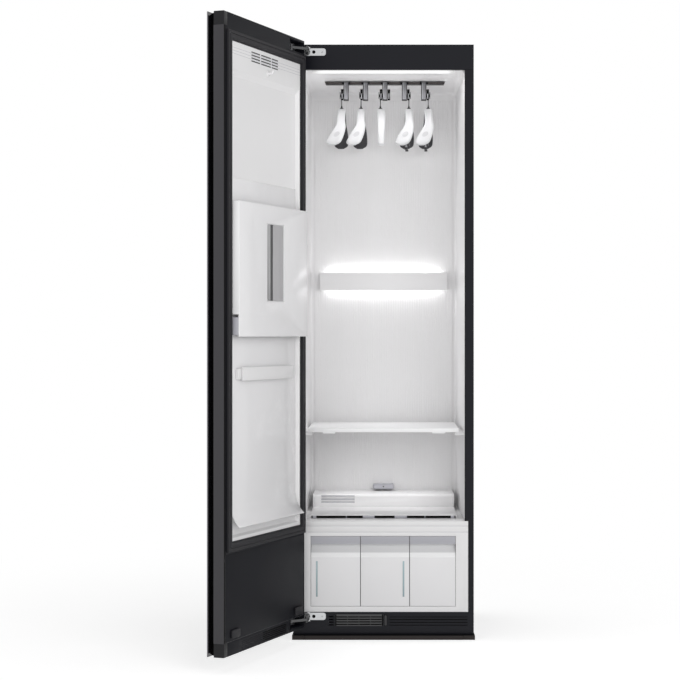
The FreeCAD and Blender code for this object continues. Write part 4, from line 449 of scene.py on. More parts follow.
class Shape:
    """Faces put together into one mesh, in millimetres."""

    def __init__(self, *names):
        self.bm = bmesh.new()
        self.names = names

    def merge(self, part, finish=None):
        """Add another mesh, and give its faces a finish unless they have theirs."""
        if finish is not None:
            for face in part.faces:
                face.material_index = self.names.index(finish)
        mesh = bpy.data.meshes.new("part")
        part.to_mesh(mesh)
        part.free()
        self.bm.from_mesh(mesh)
        bpy.data.meshes.remove(mesh)

    def zone(self, part, finish, zones):
        """Give each face a finish, or that of the last zone whose test of its middle and normal holds."""
        for face in part.faces:
            face.material_index = self.names.index(finish)
            for name, test in zones:
                if test(face.calc_center_median(), face.normal):
                    face.material_index = self.names.index(name)

    def slab(self, x, y, z, finish, edge=0.8, turn=None):
        """A block between (low, high) pairs, with all its edges rounded."""
        part = bmesh.new()
        bmesh.ops.create_cube(part, size=1.0)
        spans = [sorted(pair) for pair in (x, y, z)]
        size = Vector([high - low for low, high in spans])
        middle = Vector([(high + low) / 2 for low, high in spans])
        for vert in part.verts:
            vert.co = Vector([vert.co[k] * size[k] for k in range(3)]) + middle
        if edge:
            soften(part, list(part.edges), min(edge, min(size) * 0.45))
        if turn is not None:
            bmesh.ops.transform(part, matrix=turn, verts=part.verts)
        self.merge(part, finish)

    def rings(self, rings, finish, closed_ends=True, loop=False):
        """A skin over rings of points that all have the same number of corners."""
        part = bmesh.new()
        rows = [[part.verts.new(point) for point in ring] for ring in rings]
        pairs = list(zip(rows, rows[1:])) + ([(rows[-1], rows[0])] if loop else [])
        for one, two in pairs:
            for k in range(len(one)):
                following = (k + 1) % len(one)
                part.faces.new((one[k], one[following], two[following], two[k]))
        if closed_ends:
            part.faces.new(reversed(rows[0]))
            part.faces.new(rows[-1])
        bmesh.ops.recalc_face_normals(part, faces=part.faces)
        for face in part.faces:
            face.smooth = len(face.verts) == 4
        self.merge(part, finish)

    def tube(self, points, radius, finish, sides=12):
        """A round bar of a radius, or of one radius per point, along points."""
        points = [Vector(point) for point in points]
        count = len(points)
        radii = radius if isinstance(radius, (list, tuple)) else [radius] * count
        across = None
        rings = []
        for k, point in enumerate(points):
            heading = (points[min(k + 1, count - 1)] - points[max(k - 1, 0)]).normalized()
            if across is None:
                across = heading.orthogonal().normalized()
            across = (across - heading * across.dot(heading)).normalized()
            up = heading.cross(across)
            rings.append([point + radii[k] * (across * math.cos(math.tau * s / sides)
                                              + up * math.sin(math.tau * s / sides)) for s in range(sides)])
        self.rings(rings, finish)

    def turned(self, profile, finish, centre, axis="z", sides=32):
        """A lathed shape: (radius, distance) pairs along the Y or Z axis through a centre."""
        facing = Matrix.Rotation(math.radians(-90), 4, "X") if axis == "y" else Matrix.Identity(4)
        rings = [[Vector(centre) + facing @ Vector((radius * math.cos(math.tau * s / sides),
                                                    radius * math.sin(math.tau * s / sides), along))
                  for s in range(sides)] for radius, along in profile]
        self.rings(rings, finish)

    def swept(self, outline, x, finish, edge, zones):
        """An outline of (y, z) corners swept along X, its edges rounded; zones as in from_node."""
        part = bmesh.new()
        face = part.faces.new([part.verts.new((x[0], y, z)) for y, z in outline])
        grown = bmesh.ops.extrude_face_region(part, geom=[face])["geom"]
        bmesh.ops.translate(part, vec=(x[1] - x[0], 0, 0),
                            verts=[item for item in grown if isinstance(item, bmesh.types.BMVert)])
        bmesh.ops.recalc_face_normals(part, faces=part.faces)
        shade_curves(part)
        soften(part, clear_corners(part), edge, 3)
        self.zone(part, finish, zones)
        self.merge(part)

    def screw(self, centre, way, finish, radius, high):
        """A low round screw head facing along Y, with a cross recess marked in black as painted shade."""
        x, y, z = centre
        rise = way * high
        self.turned([(radius, 0), (radius, rise * 0.5), (radius * 0.86, rise * 0.9), (radius * 0.55, rise)],
                    finish, centre, "y", 20)
        face = y + rise
        for wide, tall in ((radius * 0.9, radius * 0.2), (radius * 0.2, radius * 0.9)):
            self.slab((x - wide / 2, x + wide / 2), (face - 0.15, face + 0.1), (z - tall / 2, z + tall / 2),
                      "void", 0.0)

    def make(self, name, body, stands_for=(), slot=None, on_door=False, sharp=38.0):
        """Link the mesh as a piece that rides on a body."""
        matrix = Matrix.Scale(MM, 4) @ (TO_OPEN if on_door else Matrix.Identity(4))
        bmesh.ops.transform(self.bm, matrix=matrix, verts=self.bm.verts)
        mesh = bpy.data.meshes.new(name)
        self.bm.to_mesh(mesh)
        self.bm.free()
        for finish in self.names:
            mesh.materials.append(finishes[finish])
        mesh.set_sharp_from_angle(angle=math.radians(sharp))
        piece = bpy.data.objects.new(name, mesh)
        bpy.context.scene.collection.objects.link(piece)
        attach(piece, body)
        if stands_for:
            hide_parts(*stands_for)


def body_of(node):
    return frame["nodes"][node]["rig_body"]


def from_node(node, edge, names, zones=(), on_door=False, kept=None):
    """A copy of a CAD node with rounded edges; zones are (finish, test of a face's middle and normal).

    Where a test of a corner's place is given, the faces that have no such corner are left away.
    """
    shape = Shape(*names)
    part = bmesh.new()
    part.from_mesh(frame["nodes"][node].data)
    matrix = (TO_OPEN.inverted() if on_door else Matrix.Identity(4)) @ Matrix.Scale(1 / MM, 4)
    bmesh.ops.transform(part, matrix=matrix, verts=part.verts)
    bmesh.ops.remove_doubles(part, verts=part.verts, dist=0.002)
    bmesh.ops.dissolve_limit(part, angle_limit=math.radians(1.0), verts=part.verts, edges=part.edges)
    if kept:
        away = [face for face in part.faces if not any(kept(vert.co) for vert in face.verts)]
        bmesh.ops.delete(part, geom=away, context="FACES")
    shade_curves(part)
    if edge:
        soften(part, clear_corners(part), edge)
    shape.zone(part, names[0], zones)
    shape.merge(part)
    return shape


def dress(node, edge, finish, slot, zones=(), on_door=False):
    """Replace a CAD node by its softened copy."""
    shape = from_node(node, edge, [finish, *(name for name, _ in zones)], zones, on_door)
    shape.make(f"finished_{node}", body_of(node), (node,), slot, on_door)


def paint(node, finish):
    """A CAD node whose shape is right keeps its mesh and gets a finish."""
    slots = frame["nodes"][node].data.materials
    if not len(slots):
        slots.append(finishes[finish])
    for k in range(len(slots)):
        slots[k] = finishes[finish]


def cushion(x, z, half, tall, y, corner):
    """The outline of a rectangle with round corners, across Y."""
    steps = 7
    ring = []
    for across, up, start in ((1, 1, 0), (-1, 1, 90), (-1, -1, 180), (1, -1, 270)):
        for k in range(steps):
            turn = math.radians(start + 90 * k / (steps - 1))
            ring.append(Vector((x + across * (half - corner) + corner * math.cos(turn), y,
                                z + up * (tall - corner) + corner * math.sin(turn))))
    return ring


def frame_outline(left, right, low, high, y, corner):
    """A round-cornered outline from its four sides."""
    return cushion((left + right) / 2, (low + high) / 2, (right - left) / 2, (high - low) / 2, y, corner)


def sizes():
    """The user's sizes, in millimetres."""
    group = bpy.context.scene.cabinet_sizes
    return {name: getattr(group, name) / MM for name in CabinetSizes.__annotations__}


# ---------------------------------------------------------------- cabinet body

class CABINET_OT_shell(bpy.types.Operator):
    """Steel sides, roof, back, front covers, plinth and feet"""
    bl_idname = "cabinet.shell"
    bl_label = "Shell"

    def execute(self, context):
        size = sizes()
        for side in ("left", "right"):
            dress(f"side_panel_{side}", size["sheet_edge"] * 0.6, "shell", "shell")
        dress("top_panel", size["sheet_edge"] * 0.6, "shell", "shell")
        dress("frame_stiles", size["moulded_edge"] * 0.6, "shell", "shell")
        dress("top_fascia", 0.5, "shell", "shell")
        low, high = span("plinth")
        # The plinth's top is black: painted shade in the gap under the kick plate.
        shape = from_node("plinth", size["moulded_edge"], ["plinth", "void"],
                          [("void", lambda middle, normal: normal.z > 0.7)])
        for vert in shape.bm.verts:
            vert.co.z = max(vert.co.z, low.z)
        for x in (-HALF + 38.0, HALF - 36.0):
            shape.slab((x, x + 0.9), (low.y - 0.1, low.y + 2.0), (0.8, high.z - 0.8), "void", 0.0)
        shape.make("foot_bar", "cabinet", ("plinth",), "black_trim")
        self.back()
        self.feet()
        paint("base_pan", "galvanised")
        return {"FINISHED"}

    def back(self):
        """The back sheet with raised beads, screws along its rim and the gland for the lead."""
        shape = from_node("back_panel", 0.0, ["galvanised", "pin", "void"])
        face = span("back_panel")[1].y
        for z in (760.0, 1180.0, 1600.0):
            shape.rings([[Vector((x, face + high, z + up)) for x, up in self.bead(inset)]
                         for inset, high in ((0.0, -0.2), (2.0, 0.5), (5.0, 0.75), (9.0, 0.8))], "galvanised")
        for k in range(9):
            for x in (-HALF + 9.0, HALF - 9.0):
                shape.screw((x, face + 0.3, 60.0 + 230.0 * k), 1, "pin", 3.6, 0.85)
        shape.make("back_sheet", "cabinet", ("back_panel",), "steel")
        collar = from_node("power_inlet", 0.4, ["trim"])
        collar.make("lead_gland", "cabinet", ("power_inlet",), "black_trim")

    def bead(self, inset):
        """A long round-ended outline, drawn in by an inset."""
        half, high, corners = 214.0, 24.0 - inset, 6
        outline = []
        for side in (1, -1):
            for k in range(corners + 1):
                turn = math.radians(-90 + 180 * k / corners)
                outline.append((side * (half + high * math.cos(turn)), side * high * math.sin(turn)))
        return outline

    def feet(self):
        """Two rubber feet on threaded studs under the back corners."""
        shape = Shape("rubber", "pin")
        pad = [(16.0, 0.0), (18.8, 0.8), (19.8, 2.6), (19.6, 5.2), (17.0, 8.2), (11.0, 9.0)]
        stud = [(9.4, 8.8), (9.4, 12.0), (8.6, 12.6), (9.4, 13.2), (8.6, 14.0), (9.2, 15.4)]
        y = span("rear_feet")[0].y + 20.0
        for x in (-HALF + 57.5, HALF - 57.5):
            shape.turned(pad, "rubber", (x, y, 0.0))
            shape.turned(stud, "pin", (x, y, 0.0), sides=24)
        shape.make("levelling_feet", "cabinet", ("rear_feet",), "rubber_black")


# ---------------------------------------------------------------- cavity

class CABINET_OT_cavity(bpy.types.Operator):
    """White room with its fluted wall, duct, outlet, steam hood and floor lip"""
    bl_idname = "cabinet.cavity"
    bl_label = "Cavity"

    def execute(self, context):
        paint("cavity_liner", "liner")
        self.wall()
        dress("duct_housing", 0.8, "matte", "white_matte")
        self.outlet()
        self.hood()
        dress("floor_tray", 1.2, "liner", "white_trim")
        self.duct_shade_lines()
        return {"FINISHED"}

    def wall(self):
        """The back wall's sheet with its shallow upright flutes."""
        low, high = span("rear_wall_panel")
        pitch, count, half, depth = 6.2, 78, 1.8, 0.65
        line = [(low.x, low.y)]
        for k in range(count):
            middle = (k - (count - 1) / 2) * pitch
            line += [(middle - half, low.y), (middle, low.y + depth), (middle + half, low.y)]
        line += [(high.x, low.y), (high.x, high.y), (low.x, high.y)]
        shape = Shape("fluted")
        part = bmesh.new()
        rows = [[part.verts.new((x, y, z)) for x, y in line] for z in (low.z, high.z)]
        for k in range(len(line)):
            following = (k + 1) % len(line)
            part.faces.new((rows[0][k], rows[0][following], rows[1][following], rows[1][k]))
        for row in rows:
            part.faces.new(row)
        bmesh.ops.recalc_face_normals(part, faces=part.faces)
        shape.merge(part, "fluted")
        shape.make("fluted_wall", "cabinet", ("rear_wall_panel",), "white_liner")

    def outlet(self):
        """Three level bars before the white mouth of the air duct."""
        low, high = span("outlet_grille")
        shape = Shape("grille", "matte")
        wide = (low.x + 0.2, high.x - 0.2)
        shape.slab(wide, (low.y + 3.6, high.y), (low.z + 0.2, high.z - 0.2), "matte", 0.3)
        for bottom, top in ((0.1, 2.8), (10.2, 13.4), (21.8, 24.9)):
            shape.slab(wide, (low.y, low.y + 4.0), (low.z + bottom, low.z + top), "grille", 0.5)
        shape.make("air_outlet", "cabinet", ("outlet_grille",), "grey_plastic")

    def hood(self):
        """The steam outlet: a cushioned cover on the back wall, with a face let into it and a fine nozzle."""
        low, high = span("steam_nozzle")
        shape = Shape("grille", "cover_face", "slot")
        x, z = (low.x + high.x) / 2, (low.z + high.z) / 2
        half, tall = (high.x - low.x) / 2, (high.z - low.z) / 2
        body = ((1.0, 1.0, high.y, 6.0), (1.0, 1.0, low.y + 5.0, 6.0), (0.993, 0.972, low.y + 2.0, 5.8),
                (0.975, 0.90, low.y + 0.5, 5.4), (0.95, 0.82, low.y, 5.0), (0.93, 0.75, low.y + 0.7, 4.6))
        face = ((0.91, 0.68, low.y + 0.9, 4.4), (0.90, 0.66, low.y + 0.3, 4.4),
                (0.88, 0.60, low.y + 0.1, 4.4))
        for layers, finish in ((body, "grille"), (face, "cover_face")):
            shape.rings([cushion(x, z, half * wide, tall * lift, y, corner)
                         for wide, lift, y, corner in layers], finish)
        # The nozzle's dish and a thin line under the cover are dark: painted shade in the hole and under the
        # cover.
        nozzle = [(2.4, 0.0), (2.4, -0.25), (1.6, -0.45), (0.5, -0.45)]
        shape.turned(nozzle, "slot", (x, low.y + 0.1, z), "y", 18)
        shape.slab((x - half * 0.66, x + half * 0.66), (low.y + 6.0, low.y + 20.0),
                   (low.z - 0.15, low.z + 0.3), "slot", 0.1)
        shape.make("steam_hood", "cabinet", ("steam_nozzle",), "white_matte")

    def duct_shade_lines(self):
        """Fine lines of painted shade on the top of the duct housing, at its slots, and two upright ones on
        its front, at its shadow gaps.
        """
        low, high = span("duct_housing")
        shape = Shape("seam")
        for left, right, back in ((-38.0, -14.0, 105.0), (-10.0, 30.0, 112.0), (52.0, 70.0, 105.0),
                                  (80.0, 136.0, 105.0)):
            shape.slab((left, right), (high.y - back, high.y - back + 1.4),
                       (high.z - 0.3, high.z + 0.12), "seam", 0.1)
        for x in (low.x + 5.0, high.x - 6.0):
            shape.slab((x, x + 0.9), (low.y - 0.12, low.y + 0.3), (low.z + 24.0, high.z - 10.0), "seam", 0.1)
        shape.make("duct_shade_lines", "cabinet", (), "white_matte")


class CABINET_OT_lamps(bpy.types.Operator):
    """Ceiling lamp and the light bar on the back wall"""
    bl_idname = "cabinet.lamps"
    bl_label = "Lamps"

    def execute(self, context):
        dress("ceiling_lamp", 1.0, "lamp", "frosted")
        dress("light_bar", 1.4, "matte", "frosted")
        low, high = span("light_bar")
        shape = Shape("strip")
        for level, way in ((low.z + 14.0, -1), (high.z - 14.0, 1)):
            shape.slab((low.x + 18.0, high.x - 18.0), (high.y - 15.0, high.y - 4.0),
                       (level - 0.2, level + way * 2.4), "strip", 0.8)
        shape.make("light_strips", "cabinet", (), "frosted")
        return {"FINISHED"}


class CABINET_OT_shelf(bpy.types.Operator):
    """Lift-out shelf and the lint filter"""
    bl_idname = "cabinet.shelf"
    bl_label = "Shelf and filter"

    def execute(self, context):
        shape = from_node("shelf", sizes()["soft_edge"], ["shelf_white"])
        for left, right in ((-197.0, -166.0), (166.0, 205.0)):
            shape.slab((left, right), (45.8, 58.0), (676.0, 683.0), "shelf_white", 2.4)
        shape.make("shelf_board", "shelf", ("shelf",), "white_trim")
        low, high = span("lint_filter")
        shape = from_node("lint_filter", 0.6, ["void", "cloth", "matte", "grey"],
                          [("cloth", lambda middle, normal: normal.z > 0.9 and middle.z < high.z - 2.0)])
        for left, right in ((-69.0, -30.0), (37.0, 78.0)):
            shape.slab((left, right), (low.y - 1.2, low.y + 17.0), (low.z + 0.4, high.z + 0.5), "grey", 0.9)
        for x in (-125.0, 137.0):
            shape.slab((x, x + 2.4), (low.y - 0.8, low.y + 12.0), (low.z + 0.4, high.z + 0.4), "grey", 0.4)
        for x in (low.x + 2.0, high.x - 14.0):
            shape.slab((x, x + 12.0), (low.y - 0.8, low.y + 12.0), (low.z + 0.4, high.z + 0.4), "grey", 0.5)
        ribs, margin = 24, 14.0
        for k in range(ribs):
            x = low.x + margin + k * (high.x - low.x - 2 * margin) / (ribs - 1)
            shape.slab((x - 0.5, x + 0.5), (low.y + 20.0, high.y - 9.0),
                       (high.z - 2.2, high.z - 0.5), "grey", 0.3)
        shape.make("lint_screen", "filter", ("lint_filter",), "grey_plastic")
        return {"FINISHED"}


# ---------------------------------------------------------------- hanging gear

PEG_Y, PEG_DROP, PEG_REACH = 240.0, 32.0, 15.5
BAR_DROP = 49.0
NECK_DROP = 52.0
BEND_START, BEND_SHARE = 0.58, 0.42
SWELL_START, NECK_WIDTH = 0.42, 27.0


def holder_middle(number):
    """Where a holder stands along the rail, counted from the left."""
    return 5.0 + (number - 2) * 66.5


def peg_side(number):
    """The first three pegs point left, the others right."""
    return -1 if number < 3 else 1


class CABINET_OT_rail(bpy.types.Operator):
    """Shaking rail and the five holders with their side pegs"""
    bl_idname = "cabinet.rail"
    bl_label = "Rail and holders"

    def execute(self, context):
        low, high = span("hanger_rail")
        shape = from_node("hanger_rail", 0.0, ["rail", "void"])
        lift = 5.0
        for vert in shape.bm.verts:
            if vert.co.z < low.z + 0.5:
                vert.co.z += lift
        shape.slab((low.x + 3.0, high.x - 3.0), (227.6, 228.4), (low.z + 5.1, low.z + 6.4), "void", 0.2)
        shape.make("shaking_rail", "rail", ("hanger_rail",), "rail_metal")
        shape = Shape("holder", "inlay", "void", "glint")
        top = span("rail_holders")[1].z
        for number in range(5):
            centre, side = holder_middle(number), peg_side(number)
            self.bar(shape, centre, PEG_Y, top)
            for way in (side,) if number != 2 else (-1, 1):
                self.guard(shape, centre, way, PEG_Y, top)
            self.peg(shape, centre, side, top - PEG_DROP)
        shape.make("holder_bars", "rail", ("rail_holders",), "black_trim")
        paint("rail_drive", "board")
        return {"FINISHED"}

    def bar(self, shape, x, y, top):
        """One bar under its clamp, with a satin face set in a black frame."""
        foot = top - BAR_DROP
        shape.slab((x - 14.0, x + 14.0), (y - 16.6, y + 12.0), (top + 5.2, top + 13.4), "void", 1.8)
        shape.slab((x - 8.8, x + 8.8), (y - 8.0, y + 8.0), (foot, top + 6.0), "holder", 1.2)
        shape.slab((x - 8.8, x + 8.8), (y - 17.4, y - 7.4), (foot, top + 13.2), "holder", 1.6)
        shape.slab((x - 6.2, x + 6.6), (y - 17.9, y - 16.0), (top - 46.6, top + 12.0), "inlay", 0.5)
        # A thin light line on the inlay: a painted highlight.
        shape.slab((x - 5.2, x - 4.0), (y - 18.1, y - 17.2), (top - 45.0, top + 10.0), "glint", 0.2)

    def guard(self, shape, x, way, y, top):
        """The black cheek before a peg, with a light mark in the slot where the hook drops in: a painted
        highlight.
        """
        near, far = sorted((x + way * 9.4, x + way * 17.8))
        shape.slab((near, far), (y - 14.0, y - 11.0), (top - BAR_DROP, top - 11.0), "void", 1.2)
        shape.slab((near, far), (y - 12.0, y - 4.0), (top - 17.0, top - 11.0), "void", 0.8)
        middle = (near + far) / 2
        shape.slab((middle - 1.3, middle + 1.1), (y - 14.3, y - 13.5), (top - 44.0, top - 26.0), "glint", 0.3)

    def peg(self, shape, x, side, z):
        """A round peg, and the plate at its end that keeps the hook on."""
        reach, radii = (8.0, 12.0, 15.0, 19.5, 20.4), [5.6, 5.4, 5.02, 5.02, 4.2]
        shape.tube([(x + side * out, PEG_Y, z) for out in reach], radii, "holder", 24)
        shape.slab((x + side * 19.6, x + side * 21.8), (PEG_Y - 7.0, PEG_Y + 7.0), (z - 10.0, z + 12.0),
                   "holder", 1.0)


class CABINET_OT_hangers(bpy.types.Operator):
    """Five shoulder hangers with wire hooks, and the clips of two of them"""
    bl_idname = "cabinet.hangers"
    bl_label = "Hangers"

    def execute(self, context):
        for number in range(5):
            self.hanger(number)
        for number in (4, 5):
            self.clips(number)
        return {"FINISHED"}

    def arm_point(self, size, share, way, sweep):
        """The middle of an arm: it hangs straight at first, then bends aside; the front arm bends further."""
        fall = size["arm_drop"] * (0.45 * share + 0.55 * share ** 2) * (1.0 if sweep or way < 0 else 0.84)
        bend = max(0.0, (share - BEND_START) / BEND_SHARE) ** 1.3
        aside = sweep * (0.62 - 0.38 * way) * bend if sweep else -3.0 * min(1.0, share * 4.0)
        return Vector((-aside, way * size["arm_reach"] * share, -fall))

    def hang(self, number):
        """The peg, the neck, and a hanger's lean about its peg, without and with the twist at its neck."""
        peg = Vector((holder_middle(number) + peg_side(number) * PEG_REACH, PEG_Y,
                      span("rail_holders")[1].z - PEG_DROP))
        neck = peg - Vector((0, 0, NECK_DROP))
        lean = Matrix.Translation(peg) @ Matrix.Rotation(math.radians(4.0), 4, "X") @ Matrix.Translation(-peg)
        twist = Matrix.Rotation(math.radians(-1.6), 4, "Z")
        return peg, neck, lean @ Matrix.Translation(neck), lean @ Matrix.Translation(neck) @ twist

    def arm_frame(self, size, share, way, sweep, tip_width):
        """Centre, up direction, half width and thickness at a share of the reach."""
        near, far = (self.arm_point(size, s, way, sweep) for s in (max(share - 0.01, 0.0), share + 0.01))
        along = far - near
        slope = math.atan2(-along.z, along.y * way)
        up = Vector((0, way * math.sin(slope), math.cos(slope)))
        swell = min(1.0, max(0.0, (share - SWELL_START) / 0.5))
        width = NECK_WIDTH + (tip_width - NECK_WIDTH) * swell * swell * (3.0 - 2.0 * swell)
        blunt = max(0.0, (share - 0.92) / 0.08)
        end = max(0.5, (1.0 - blunt ** 2.4) ** 0.42) if sweep else 1.0 - 0.12 * blunt
        thick = size["arm_thick"] * (0.35 + 0.65 * end)
        return self.arm_point(size, share, way, sweep), up, width / 2 * end, thick

    def hanger(self, number):
        """Two shoulders, a round neck and a wire hook over the peg; the middle hanger is straight."""
        size = sizes()
        straight = number == 2
        sweep, tip_width = (0.0, 22.0) if straight else (28.0, 49.0)
        peg, at, turn, _ = self.hang(number)
        lean = turn @ Matrix.Translation(-at)
        finish = ("hanger_white", "hanger_black", "hanger_notch", "wire")
        shape, upper = Shape(*finish), Shape(*finish)
        for way in (-1, 1):
            self.shoulder(shape, size, way, sweep, tip_width, turn)
            if not straight:
                self.notch(shape, size, way, sweep, tip_width, turn)
        neck = [(9.5, -9.0), (11.0, -5.0), (11.3, 0.0), (10.6, 4.0), (8.4, 6.6), (5.0, 7.6)]
        socket = [(7.0, 7.0), (6.8, 8.6), (3.4, 11.0), (2.3, 16.0), (1.9, 18.0)]
        upper.turned(neck, "hanger_white", at)
        upper.turned(socket, "wire", at, sides=20)
        round_hook, start = size["hook_radius"], 8.0
        ring_z = peg.z + 5.0 - round_hook + size["hook_wire"]
        points = [(at.x, at.y, at.z + start + k * (ring_z - round_hook - at.z - start) / 6) for k in range(7)]
        for k in range(25):
            angle = math.radians(-90 + 292 * k / 24)
            points.append((at.x, at.y + round_hook * math.cos(angle) * (1 if k else 0),
                           ring_z + round_hook * math.sin(angle)))
        upper.tube(points, size["hook_wire"], "wire", 10)
        bmesh.ops.transform(upper.bm, matrix=lean, verts=upper.bm.verts)
        shape.merge(upper.bm)
        node = f"hanger_{number + 1}"
        shape.make(f"{node}_body", node, (node,), "white_trim")

    def shoulder(self, shape, size, way, sweep, tip_width, turn):
        """One arm: white and arched above, black and flatter below."""
        sides = 24
        part = bmesh.new()
        shares = [k / 30 * 0.86 for k in range(31)]
        shares += [0.88, 0.90, 0.92, 0.94, 0.955, 0.97, 0.98, 0.99, 0.996, 1.0]
        rows = []
        for share in shares:
            centre, up, half, thick = self.arm_frame(size, share, way, sweep, tip_width)
            row = []
            for k in range(sides):
                angle = math.tau * (k + 0.5) / sides
                s, c = math.sin(angle), math.cos(angle)
                lift = (abs(s) ** 0.8) * (thick / 2 if s > 0 else -thick / 4)
                across = Vector((half * math.copysign(abs(c) ** 0.75, c), 0, 0))
                row.append(part.verts.new(turn @ (centre + across + up * lift)))
            rows.append(row)
        for one, two in zip(rows, rows[1:]):
            for k in range(sides):
                face = part.faces.new((one[k], one[(k + 1) % sides], two[(k + 1) % sides], two[k]))
                below = math.sin(math.tau * (k + 1.0) / sides) < -0.05
                face.material_index = 1 if below else 0
        for row in (rows[0], rows[-1]):
            part.faces.new(row)
        bmesh.ops.recalc_face_normals(part, faces=part.faces)
        shape.merge(part)

    def notch(self, shape, size, way, sweep, tip_width, turn):
        """The oval grip pad let into an arm near its tip, with a fine rim."""
        sides = 28
        part = bmesh.new()
        rows = []
        for scale, sink in ((1.0, 0.25), (0.93, 0.55), (0.86, 0.25), (0.5, 0.2), (0.15, 0.2)):
            row = []
            for k in range(sides):
                angle = math.tau * k / sides
                share = 0.82 + 0.055 * scale * math.cos(angle)
                centre, up, half, thick = self.arm_frame(size, share, way, sweep, tip_width)
                across = 0.40 * scale * math.sin(angle)
                lift = thick / 2 * (1.0 - (abs(across) ** (1 / 0.75)) ** 2) ** 0.4
                point = centre + Vector((half * across, 0, 0)) + up * (lift + sink)
                row.append(part.verts.new(turn @ point))
            rows.append(row)
        for one, two in zip(rows, rows[1:]):
            for k in range(sides):
                part.faces.new((one[k], one[(k + 1) % sides], two[(k + 1) % sides], two[k]))
        part.faces.new(rows[-1])
        bmesh.ops.recalc_face_normals(part, faces=part.faces)
        top = max(part.faces, key=lambda face: face.calc_center_median().z)
        if top.normal.z < 0:
            bmesh.ops.reverse_faces(part, faces=part.faces)
        shape.merge(part, "hanger_notch")

    def clips(self, number):
        """A bar close under the arms with two sprung steel clips, each with black pads and a coil."""
        node = f"trouser_clips_{number}"
        shape = Shape("clip", "pin", "glint")
        bar, x = -108.0, -8.0
        for way in (-1, 1):
            y = way * 86.0
            for across in (-12.0, 0.0, 12.0):
                shape.slab((x - 9.0, x + 9.0), (y + across - 2.2, y + across + 2.2),
                           (bar - 8.0, bar + 3.0), "clip", 0.8)
            for side in (-1, 1):
                turn = Matrix.Translation((x, y, bar)) @ Matrix.Rotation(math.radians(side * 16.0), 4, "Y")
                blade, pad, rib = side * 3.0, side * 4.4, side * 7.0
                # The blades and the pads' ribs are light grey: painted sheen and highlights.
                shape.slab((blade - 1.0, blade + 1.0), (-12.0, 12.0), (-20.0, 2.0), "glint", 0.4, turn=turn)
                shape.slab((pad - 2.6, pad + 2.6), (-14.0, 14.0), (-27.0, -18.0), "clip", 1.0, turn=turn)
                for level in (-24.5, -21.0):
                    shape.slab((rib - 0.8, rib + 0.6), (-11.0, 11.0), (level, level + 1.2),
                               "glint", 0.2, turn=turn)
            angles = [k * math.tau / 9 for k in range(61)]
            coil = [(x - 9.0 + 18.0 * k / 60, y + 5.0 * math.cos(angle), bar - 2.0 + 5.0 * math.sin(angle))
                    for k, angle in enumerate(angles)]
            shape.tube(coil, 0.8, "pin", 6)
        shape.tube([(x, -100.0 + 20.0 * k, bar) for k in range(11)], 1.6, "pin", 12)
        for way in (-1, 1):
            centre = self.arm_point(sizes(), 0.56, way, 24.0)
            shape.tube([(x, way * 99.0, bar), (x, way * 99.6, bar + 10.0), (x, way * 99.7, centre.z - 14.0),
                        (centre.x, way * 99.7, centre.z - 4.0)], 1.5, "pin", 10)
        bmesh.ops.transform(shape.bm, matrix=self.hang(number - 1)[3], verts=shape.bm.verts)
        shape.make(f"clip_bar_{number}", f"hanger_{number}", (node,), "hook_dark")


# ---------------------------------------------------------------- machine front

class CABINET_OT_machine_front(bpy.types.Operator):
    """White machine front with its three drawers"""
    bl_idname = "cabinet.machine_front"
    bl_label = "Machine front"

    def execute(self, context):
        shape = from_node("machine_panel", 0.4, ["panel", "board", "seam", "void"],
                          [("board", lambda middle, normal: middle.y > 17.5)])
        low, high = span("machine_panel")
        # Two thin grey lines under the steps of the panel's brow: painted shadow.
        for drop in (36.5, 16.5):
            shape.slab((low.x + 0.2, high.x - 0.2), (0.2, 0.95), (high.z - drop + 0.05, high.z - drop + 0.95),
                       "seam", 0.0)
        right = span("aroma_drawer")[1].x
        # A black sheet in the gap right of the third drawer: painted shade.
        shape.slab((right + 0.1, right + 0.85), (3.0, 17.0), (low.z + 8.0, low.z + 230.0), "void", 0.0)
        shape.make("machine_front", "cabinet", ("machine_panel",), "white_trim")
        self.drawer("supply_tank", "supply_drawer", "tank_supply", (-222.4, -217.1))
        self.drawer("drain_tank", "drain_drawer", "tank_drain", (63.3, 68.6))
        self.drawer("aroma_drawer", "care_drawer", "care_box", None)
        return {"FINISHED"}

    def drawer(self, node, body, name, window):
        """A front with its strip, hollow grip and bevel, before the tank with its lid and caps."""
        low, high = span(node)
        strip = high.z - 26.0
        grip, bevel, thick = strip - 28.0, strip - 43.0, 18.0
        shape = from_node(node, 0.8, ["tank", "pearl", "grey", "grip", "bevel", "level", "void"],
                          kept=lambda corner: corner.y > thick + 0.1)
        hollow = [(13.4 - 8.4 * t + 2.4 * math.sin(math.pi * t), strip - 1.0 - 27.0 * t)
                  for t in (k / 10 for k in range(11))]
        outline = [(0.0, low.z), (thick, low.z), (thick, high.z), (0.0, high.z), (0.0, strip), (12.6, strip),
                   *hollow, (0.0, bevel)]
        shape.swept(outline, (low.x, high.x), "pearl", 0.7, [
            ("grey", lambda middle, normal: middle.z > strip + 0.6 and normal.y < -0.9),
            # the bevel's faces: the brighter white, a painted highlight from the light above
            ("bevel", lambda middle, normal: bevel + 0.2 < middle.z < grip + 0.4 and normal.y < -0.3),
            # the grip recess: grey white, painted shade in the recess
            ("grip", lambda middle, normal: (grip - 0.2 < middle.z < strip + 0.5
                                             and 0.8 < middle.y < thick - 0.5))])
        if window:
            left, right = window
            shape.slab((left - 0.9, right + 0.9), (low.y - 0.05, low.y + 0.4), (139.2, 257.8), "grip", 0.1)
            shape.slab((left, right), (low.y - 0.2, low.y + 0.9), (140.0, 257.0), "level", 0.3)
            middle, cap = (low.x + high.x) / 2, [(12.0, 0.0), (12.0, 2.0), (10.8, 3.2), (4.0, 3.4)]
            for x in (middle - 20.0, middle + 20.0):
                shape.turned(cap, "grip", (x, 150.0, high.z - 43.0), sides=28)
        shape.make(name, body, (node,), "pearl")


